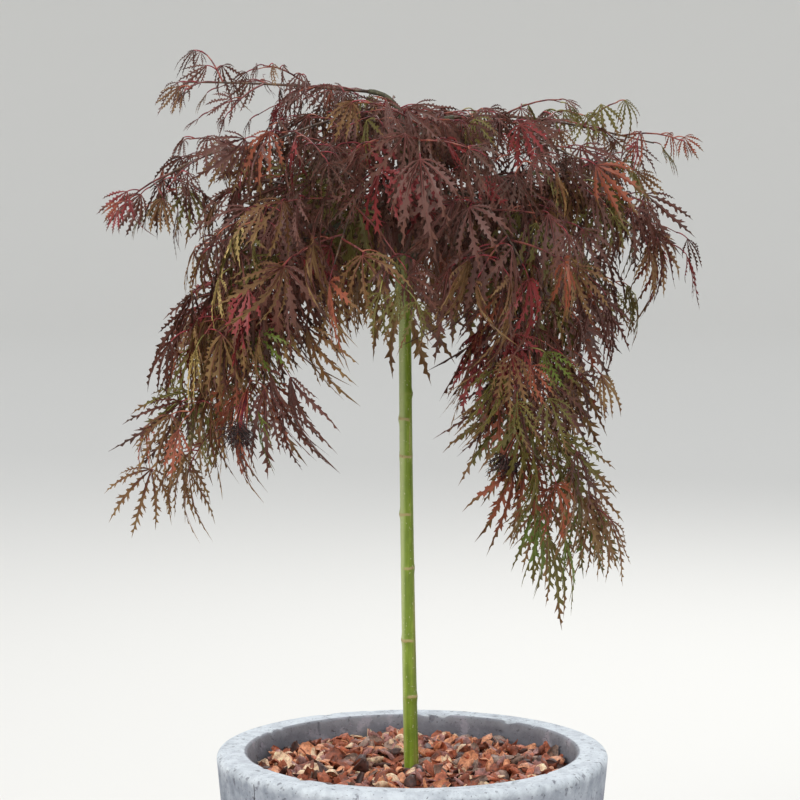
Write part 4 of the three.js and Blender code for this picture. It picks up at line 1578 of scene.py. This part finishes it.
def bear_leaf(stand, root, way, *keys):
    """Adds a leaf, unless it would hang in the open space round the stem."""
    index = stand["index"]
    size = lerp(*LEAF["sizes"], chance(*keys, index) ** 0.8)
    size *= lerp(1.0, LEAF["at_tip"], stand["share"]) * stand["size"] ** LEAF["shrink"]
    length = LEAF["length"] * size
    turn = (chance(index, *keys) - 0.5) * LEAF["sway"]
    twist = (chance(keys[-1], index, *keys[:-1]) - 0.5) * 2 * LEAF["twist"]
    hang = lerp(*LEAF["hang"], chance(keys[-1] + 0.5, index, *keys[:-1]))
    hang += LEAF["steeper"] * stand["steepness"]
    palm, frame_rows = leaf_frame(root, way, turn, hang, twist, length)
    length = within_girth(stand, palm, frame_rows[0], length)
    tip = palm + frame_rows[0] * length
    if in_hollow(palm) or in_hollow(tip):
        return
    draw = chance(index, *keys[1:], keys[0] + 0.5)
    share = LEAF["lacy"]["below" if palm[2] < LEAF["lacy_below"] else "above"]
    if chance(index + 0.7, *keys) < share:
        hand = BROAD_HANDS + int(draw * (len(HANDS) - BROAD_HANDS))
    else:
        hand = int(draw * BROAD_HANDS)
    crown["leaves"].append({
        "root": root, "palm": palm, "way": way, "rows": frame_rows, "length": length,
        "hand": hand, "spray": stand["spray"],
    })


print("hollow just under the graft:", in_hollow((0.0, 0.0, STEM["graft_from"])))

# %% [markdown]
# ### Growing the masses
#
# Each bough bears its own mass of foliage: spurs along its outer part, its shoot, and a
# pair of twigs at every node of the shoot. A full set of leaves on every twig would fill
# the gaps that the sky shows through, so a share of the places stays bare, more of them
# towards the shoot's tip and on boughs with small leaves.

# %% Growing the crown
BARE = {"foot": 0.42, "tip": 0.56, "small": 0.3, "twiglets": 0.8}
DRAW = {
    # the last key of each kind of draw, so that no two draws are alike
    "end_leaf": 4, "leaf": 5, "twiglet_length": 20, "twiglet_leaf": 30, "bare": 50,
    "no_twiglet": 60, "spur_length": 71, "spur_leaf": 72, "second": 73, "second_leaf": 74,
}
SPUR_SPRAYS = 100


def grow_twiglet(stand, start, way, length, *keys):
    """A short side twig that sinks a little, with a leaf at its end."""
    end = start + way * length - UP * length * TWIGLET["sag"]
    twiglet = Line(start, start + way * length * TWIGLET["bend"], end, pieces=6)
    crown["twiglets"].append(twiglet.points_at(TWIGLET["rings"]))
    bear_leaf(stand, end, twiglet.way(1.0), *keys)


def grow_twig(bough, node, hand, share):
    """One twig with its twiglets and leaves: one spray."""
    line = twig_line(bough, node, hand, share)
    index = bough["index"]
    stand = standing(bough, bough["shoot"], share, node, hand)
    bare = lerp(BARE["foot"], BARE["tip"], share) + BARE["small"] * (1 - bough["size"])
    crown["twigs"].append(line.points_at(TWIG["rings"]))
    bear_leaf(stand, line.at(TWIG["last_leaf"]), line.way(1.0), node, hand, DRAW["end_leaf"])
    for number, (at, turn) in enumerate(LEAF_SPOTS):
        if chance(index, node, hand, DRAW["bare"] + number) > bare:
            way = side_way(line.way(at), turn)
            bear_leaf(stand, line.at(at), way, node, hand, DRAW["leaf"] + number)
    for number, at in enumerate(TWIGLET["at"]):
        if chance(index, node, hand, DRAW["no_twiglet"] + number) > bare * BARE["twiglets"]:
            way = side_way(line.way(at), hand if number else -hand)
            draw = chance(index, node, hand, DRAW["twiglet_length"] + number)
            length = lerp(*TWIGLET["length"], draw)
            grow_twiglet(stand, line.at(at), way, length, node, hand, DRAW["twiglet_leaf"] + number)


def grow_spurs(bough):
    """Short leafy side twigs on a bough's outer part, which close the crown's roof."""
    line, index = bough["line"], bough["index"]
    count = round(line.length * (SPUR["until"] - SPUR["from"]) / SPUR["pitch"])
    for number in range(count):
        share = lerp(SPUR["from"], SPUR["until"], (number + 0.5) / count)
        hand = 1 if number % 2 else -1
        root, spray = line.at(share), SPUR_SPRAYS + number
        stand = {**standing(bough, line, 0.0, spray, hand), "heart": root}
        length = lerp(*SPUR["length"], chance(index, number, hand, DRAW["spur_length"]))
        way, other_way = (side_way(line.way(share), side) for side in (hand, -hand))
        grow_twiglet(stand, root, way, length, spray, hand, DRAW["spur_leaf"])
        if chance(index, number, hand, DRAW["second"]) < SPUR["second_leaf"]:
            bear_leaf(stand, root, other_way, spray, hand, DRAW["second_leaf"])


def grow(bough):
    """One mass of foliage: spurs, the shoot, a pair of twigs at each node, and a last leaf."""
    shoot = bough["shoot"]
    grow_spurs(bough)
    crown["shoots"].append(shoot.points_at(SHOOT["rings"]))
    nodes = max(SHOOT["fewest_nodes"], round(shoot.length / SHOOT["pitch"]))
    for node in range(nodes):
        for hand in (-1, 1):
            grow_twig(bough, node, hand, (node + SHOOT["first"] + hand * SHOOT["stagger"]) / nodes)
    stand = standing(bough, shoot, 1.0, nodes, 0)
    bear_leaf(stand, shoot.at(SHOOT["last_leaf"]), shoot.way(1.0), nodes, 0, DRAW["end_leaf"])


for bough in boughs.values():
    grow(bough)
print({part: len(grown) for part, grown in crown.items()})

# %% [markdown]
# ### Faded and withered leaves
#
# No crown is fresh all over. Here a few leaves on the left have rolled up and bleached to
# the colour of straw, and in each leg one bunch has dried to a dark crumpled clump that
# still hangs on its twig. Chance would put them anywhere, so each place is named, and
# the leaf that hangs in front there is the one that changes.

# %% Faded and withered leaves
FADED = {"at": ((-0.156, 0.735), (-0.160, 0.700), (-0.192, 0.625)), "rolled": 0.30}
WITHERED = {
    # down: how far along the leaf its clump sits, apart: how far its leaves stand off
    "at": ((0.068, 0.553), (-0.134, 0.576)), "leaves": 12, "length": (0.015, 0.026),
    "down": 0.4, "forward": 0.008, "apart": 0.3,
}
NEAR = 0.020


def leaf_middle(leaf):
    """The point half way down a leaf's middle lobe."""
    return leaf["palm"] + leaf["rows"][0] * leaf["length"] / 2


def front_leaf(x, z):
    """The foremost leaf whose middle hangs near a place, seen from the front."""
    near = [leaf for leaf in crown["leaves"] if math.dist(leaf_middle(leaf)[::2], (x, z)) < NEAR]
    return min(near, key=lambda leaf: leaf_middle(leaf)[1])


def fade(leaf):
    """Bleaches a leaf and rolls it up lengthwise."""
    leaf["tint"] = "straw"
    leaf["rows"] = leaf["rows"] * [[1.0], [FADED["rolled"]], [1.0]]


def wither(leaf, clump):
    """Shrinks a leaf and crowds small crumpled ones round it."""
    heart = leaf["palm"] + leaf["rows"][0] * leaf["length"] * WITHERED["down"]
    heart[1] -= WITHERED["forward"]
    leaf.update(tint="withered", palm=heart, length=WITHERED["length"][1])
    for number in range(WITHERED["leaves"]):
        length = lerp(*WITHERED["length"], chance(clump, number, 1))
        turn, twist = (math.tau * chance(clump, number, key) for key in (2, 3))
        hang = lerp(*LEAF["hang"], chance(clump, number, 4))
        _, rows = leaf_frame(leaf["root"], leaf["way"], turn, hang, twist, length)
        palm = heart + rows[2] * length * WITHERED["apart"]
        crown["leaves"].append({**leaf, "palm": palm, "rows": rows, "length": length})


for place in FADED["at"]:
    fade(front_leaf(*place))
for clump, place in enumerate(WITHERED["at"]):
    wither(front_leaf(*place), clump)
print("faded:", len(FADED["at"]), "withered clumps:", len(WITHERED["at"]))

# %% [markdown]
# ### Tints
#
# The leaves of one plant are never one colour: old ones are purple-brown, young ones
# crimson, and shaded or weeping ones bronze and green. One noise pattern over a joined
# mesh would colour single leaves half and half, so most leaves of a spray share one
# plain tint for their lobes and another, near it, for the lobes' tips. Where a spray
# hangs decides what is likely.

# %% Tints by spray
def tinted(colour, slot, tips, ribs):
    """A tint: its colour, a slot that is not used, and the tints of its lobes' tips and ribs."""
    return {"colour": paint(*colour), "slot": slot, "tips": tips, "ribs": ribs}


TINTS = {
    "umber": tinted((76, 48, 36), "leaves_purple", "purple_brown", "pink"),
    "purple_brown": tinted((96, 59, 47), "leaves_purple", "umber", "pink"),
    "plum": tinted((100, 66, 58), "leaves_purple", "purple_brown", "pink"),
    "bronze": tinted((112, 80, 46), "leaves_purple", "tawny", "pink"),
    "crimson": tinted((130, 48, 48), "leaves_red", "purple_brown", "pink"),
    "rust": tinted((142, 76, 52), "leaves_red", "bronze", "pink"),
    "tawny": tinted((130, 100, 60), "leaves_red", "bronze", "pink"),
    "olive": tinted((98, 88, 38), "leaves_green", "bronze", "lime"),
    "green": tinted((98, 112, 42), "leaves_green", "olive", "lime"),
    "straw": tinted((190, 164, 104), "leaves_green", "straw", "lime"),
    "withered": tinted((50, 38, 36), "leaves_purple", "withered", "pink"),
}
ZONES = {
    # the tints' shares in each part of the crown
    "tips": {"umber": 10, "purple_brown": 24, "bronze": 16, "crimson": 22, "rust": 20, "olive": 8},
    "roof": {
        "umber": 30, "purple_brown": 28, "plum": 9, "bronze": 12, "crimson": 5, "rust": 4,
        "olive": 12,
    },
    "middle": {
        "umber": 6, "purple_brown": 26, "plum": 16, "bronze": 21, "crimson": 5, "rust": 10,
        "tawny": 4, "olive": 11,
    },
    "legs": {
        "umber": 4, "purple_brown": 18, "plum": 9, "bronze": 20, "crimson": 1, "rust": 20,
        "tawny": 9, "olive": 13, "green": 6,
    },
    "feet": {
        "umber": 4, "purple_brown": 5, "bronze": 15, "rust": 11, "tawny": 7,
        "olive": 29, "green": 29,
    },
}
# Tips are what is far out and high up. The other zones begin at a height each.
ZONE_EDGES = {"tips": 0.225, "tips_above": 0.67, "roof": 0.78, "middle": 0.68, "legs": 0.60}
# The share of leaves that draw a tint of their own.
ODD = 0.45


def zone_of(palm):
    """The part of the crown that a leaf hangs in."""
    if math.hypot(palm[0], palm[1]) > ZONE_EDGES["tips"] and palm[2] > ZONE_EDGES["tips_above"]:
        return "tips"
    return next((zone for zone in ("roof", "middle", "legs") if palm[2] > ZONE_EDGES[zone]), "feet")


def spray_tint(leaf):
    """The tint of a leaf's lobes: the same for most leaves of one spray."""
    if "tint" in leaf:
        return leaf["tint"]
    shares = ZONES[zone_of(leaf["palm"])]
    index, node, hand = leaf["spray"]
    draw = chance(index + 0.3, node, hand)
    odd = chance(round(leaf["palm"][0] * 1e4), round(leaf["palm"][1] * 1e4))
    return dealt(shares, odd / ODD if odd < ODD else draw)


for leaf in crown["leaves"]:
    leaf["tint"] = spray_tint(leaf)
print({tint: sum(leaf["tint"] == tint for leaf in crown["leaves"]) for tint in TINTS})

# %% [markdown]
# ### Joining the leaves
#
# The crown has over eight hundred leaves, so all lobes of one tint are joined in one
# piece, and all ribs of one tint in another. Two materials on each leaf would do for the
# tips of its lobes. Dealing the tips out to the piece of their own tint does the same, and
# keeps one plain finish to a piece. No piece matches one mass of the solids, so the leaf
# pieces stand for all the masses together.

# %% Leaves, joined by tint
LEAF_SHINE = 0.35
ALL_FOLIAGE = ["foliage_" + name for name in boughs]


def laid(points, leaf):
    """A leaf shape's points, carried to where one leaf hangs."""
    return leaf["palm"] + leaf["length"] * (points @ leaf["rows"])


def copies_of(points, kind, wanted):
    """A shape's points on every leaf of one kind of hand that is wanted."""
    leaves = [leaf for leaf in crown["leaves"] if leaf["hand"] == kind]
    return [laid(points, leaf) for leaf in leaves if wanted(leaf)]


def trimmed(copies, faces):
    """The copies with only the points that the faces use, and the faces renumbered."""
    used = sorted({i for face in faces for i in face})
    number = {i: new for new, i in enumerate(used)}
    return np.array(copies)[:, used], [[number[i] for i in face] for face in faces]


def leaf_batches(tint):
    """The copies of one tint: the inner faces of its own leaves, and tips that wear it."""
    batches = []
    for kind, (points, inner, outer) in enumerate(hands):
        own = copies_of(points, kind, lambda leaf: leaf["tint"] == tint)
        tips = copies_of(points, kind, lambda leaf: TINTS[leaf["tint"]]["tips"] == tint)
        batches += [trimmed(*pair) for pair in ((own, inner), (tips, outer)) if pair[0]]
    return batches


for tint, look in TINTS.items():
    finish = Finish("leaf_" + tint, base_color=look["colour"], roughness=0.5)
    finish.wear("Specular IOR Level", LEAF_SHINE)
    name = "leaves_" + tint
    thing = placed(name, joined(name, leaf_batches(tint)), finish, smooth=False)
    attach(thing, "root")
    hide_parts(*ALL_FOLIAGE)
    print(name, sum(len(p.vertices) - 2 for p in thing.data.polygons), "triangles")

# %% Ribs, joined by tint
RIB_TINTS = {"pink": (paint(132, 72, 66), "leaves_red"), "lime": (paint(140, 130, 70), "leaves_green")}

for tint, (colour, slot) in RIB_TINTS.items():
    batches = []
    for kind, (points, faces) in enumerate(ribs):
        copies = copies_of(points, kind, lambda leaf: TINTS[leaf["tint"]]["ribs"] == tint)
        if copies:
            batches.append((np.array(copies), faces))
    finish = Finish("rib_" + tint, base_color=colour, roughness=0.45)
    name = "ribs_" + tint
    thing = placed(name, joined(name, batches), finish)
    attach(thing, "root")
print("ribs:", list(RIB_TINTS))

# %% [markdown]
# ### Shoots, twigs and leaf stalks
#
# The wood under the leaves goes from dark brown shoots over red-brown twigs to thin
# stalks, crimson, coral or lime. They are rods again, but there are over a thousand, so
# all rods of one kind are worked out at once as arrays and joined in one mesh.

# %% Many rods at once
def tube_points(paths, foot, tip, sides):
    """The points of a tapered tube along each path, ring by ring."""
    count, rings = paths.shape[:2]
    ahead = np.gradient(paths, axis=1)
    ahead /= np.linalg.norm(ahead, axis=2, keepdims=True)
    across = np.cross(ahead[:, 0], UP)
    upright = np.linalg.norm(across, axis=1) < 0.2
    across[upright] = np.cross(ahead[upright, 0], (0.0, 1.0, 0.0))
    made = np.empty((count, rings, sides, 3))
    for ring in range(rings):
        way = ahead[:, ring]
        across = across - way * np.sum(across * way, axis=1, keepdims=True)
        across /= np.linalg.norm(across, axis=1, keepdims=True)
        other = np.cross(way, across)
        radius = lerp(foot, tip, ring / (rings - 1))
        for side in range(sides):
            angle = math.tau * side / sides
            spoke = math.cos(angle) * across + math.sin(angle) * other
            made[:, ring, side] = paths[:, ring] + radius * spoke
    return made.reshape(count, rings * sides, 3)


def rods(name, groups, finish):
    """A piece made of groups of rods: (paths, foot radius, tip radius, sides)."""
    batches = []
    for paths, foot, tip, sides in groups:
        paths = np.array(paths)
        batches.append((tube_points(paths, foot, tip, sides), tube_faces(paths.shape[1], sides)))
    thing = placed(name, joined(name, batches), finish)
    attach(thing, "root")
    print(name, len(thing.data.polygons), "faces")


def young_wood(name, dark, mid, light):
    """Smooth young bark in three shades."""
    stops = ((0.36, dark), (0.5, mid), (0.66, light))
    return mottled(name, 0.5, (130.0, 3.0), stops, depth=0.0003)


shoot_bark = young_wood("shoot_bark", paint(50, 38, 28), paint(82, 58, 42), paint(110, 84, 60))
twig_bark = young_wood("twig_bark", paint(84, 34, 34), paint(122, 52, 46), paint(150, 84, 62))
shoots, twigs, twiglets = (
    (crown[kind], wood["foot"], wood["tip"], wood["sides"])
    for kind, wood in (("shoots", SHOOT), ("twigs", TWIG), ("twiglets", TWIGLET))
)
rods("shoots", [shoots], shoot_bark)
rods("twigs", [twigs, twiglets], twig_bark)

# %% Leaf stalks
STALK = {"foot": 0.00062, "tip": 0.00045, "sides": 4, "rings": 5, "rise": 0.20}
# By the rib's tint: the usual stalk, and the share that has it. The others are coral.
USUAL_STALK = {"lime": ("lime", 0.6), "pink": ("crimson", 0.8)}
STALK_TINTS = {
    "crimson": (paint(72, 18, 24), paint(128, 30, 42), paint(164, 60, 64)),
    "coral": (paint(104, 48, 36), paint(156, 78, 56), paint(184, 112, 80)),
    "lime": (paint(92, 88, 38), paint(134, 128, 62), paint(166, 154, 90)),
}


def stalk_path(leaf):
    """From the twig along the stalk's way, arched a little, to the palm."""
    root, palm = leaf["root"], leaf["palm"]
    lift = UP * STALK["rise"] * np.linalg.norm(palm - root)
    return Line(root, (root + palm) / 2 + lift, palm, pieces=6).points_at(STALK["rings"])


def stalk_tint(leaf):
    """The tint of a leaf's stalk."""
    usual, share = USUAL_STALK[TINTS[leaf["tint"]]["ribs"]]
    return usual if chance(round(leaf["palm"][2] * 1e4)) < share else "coral"


for tint, colours in STALK_TINTS.items():
    paths = [stalk_path(leaf) for leaf in crown["leaves"] if stalk_tint(leaf) == tint]
    group = (paths, STALK["foot"], STALK["tip"], STALK["sides"])
    rods("stalks_" + tint, [group], young_wood("stalk_" + tint, *colours))
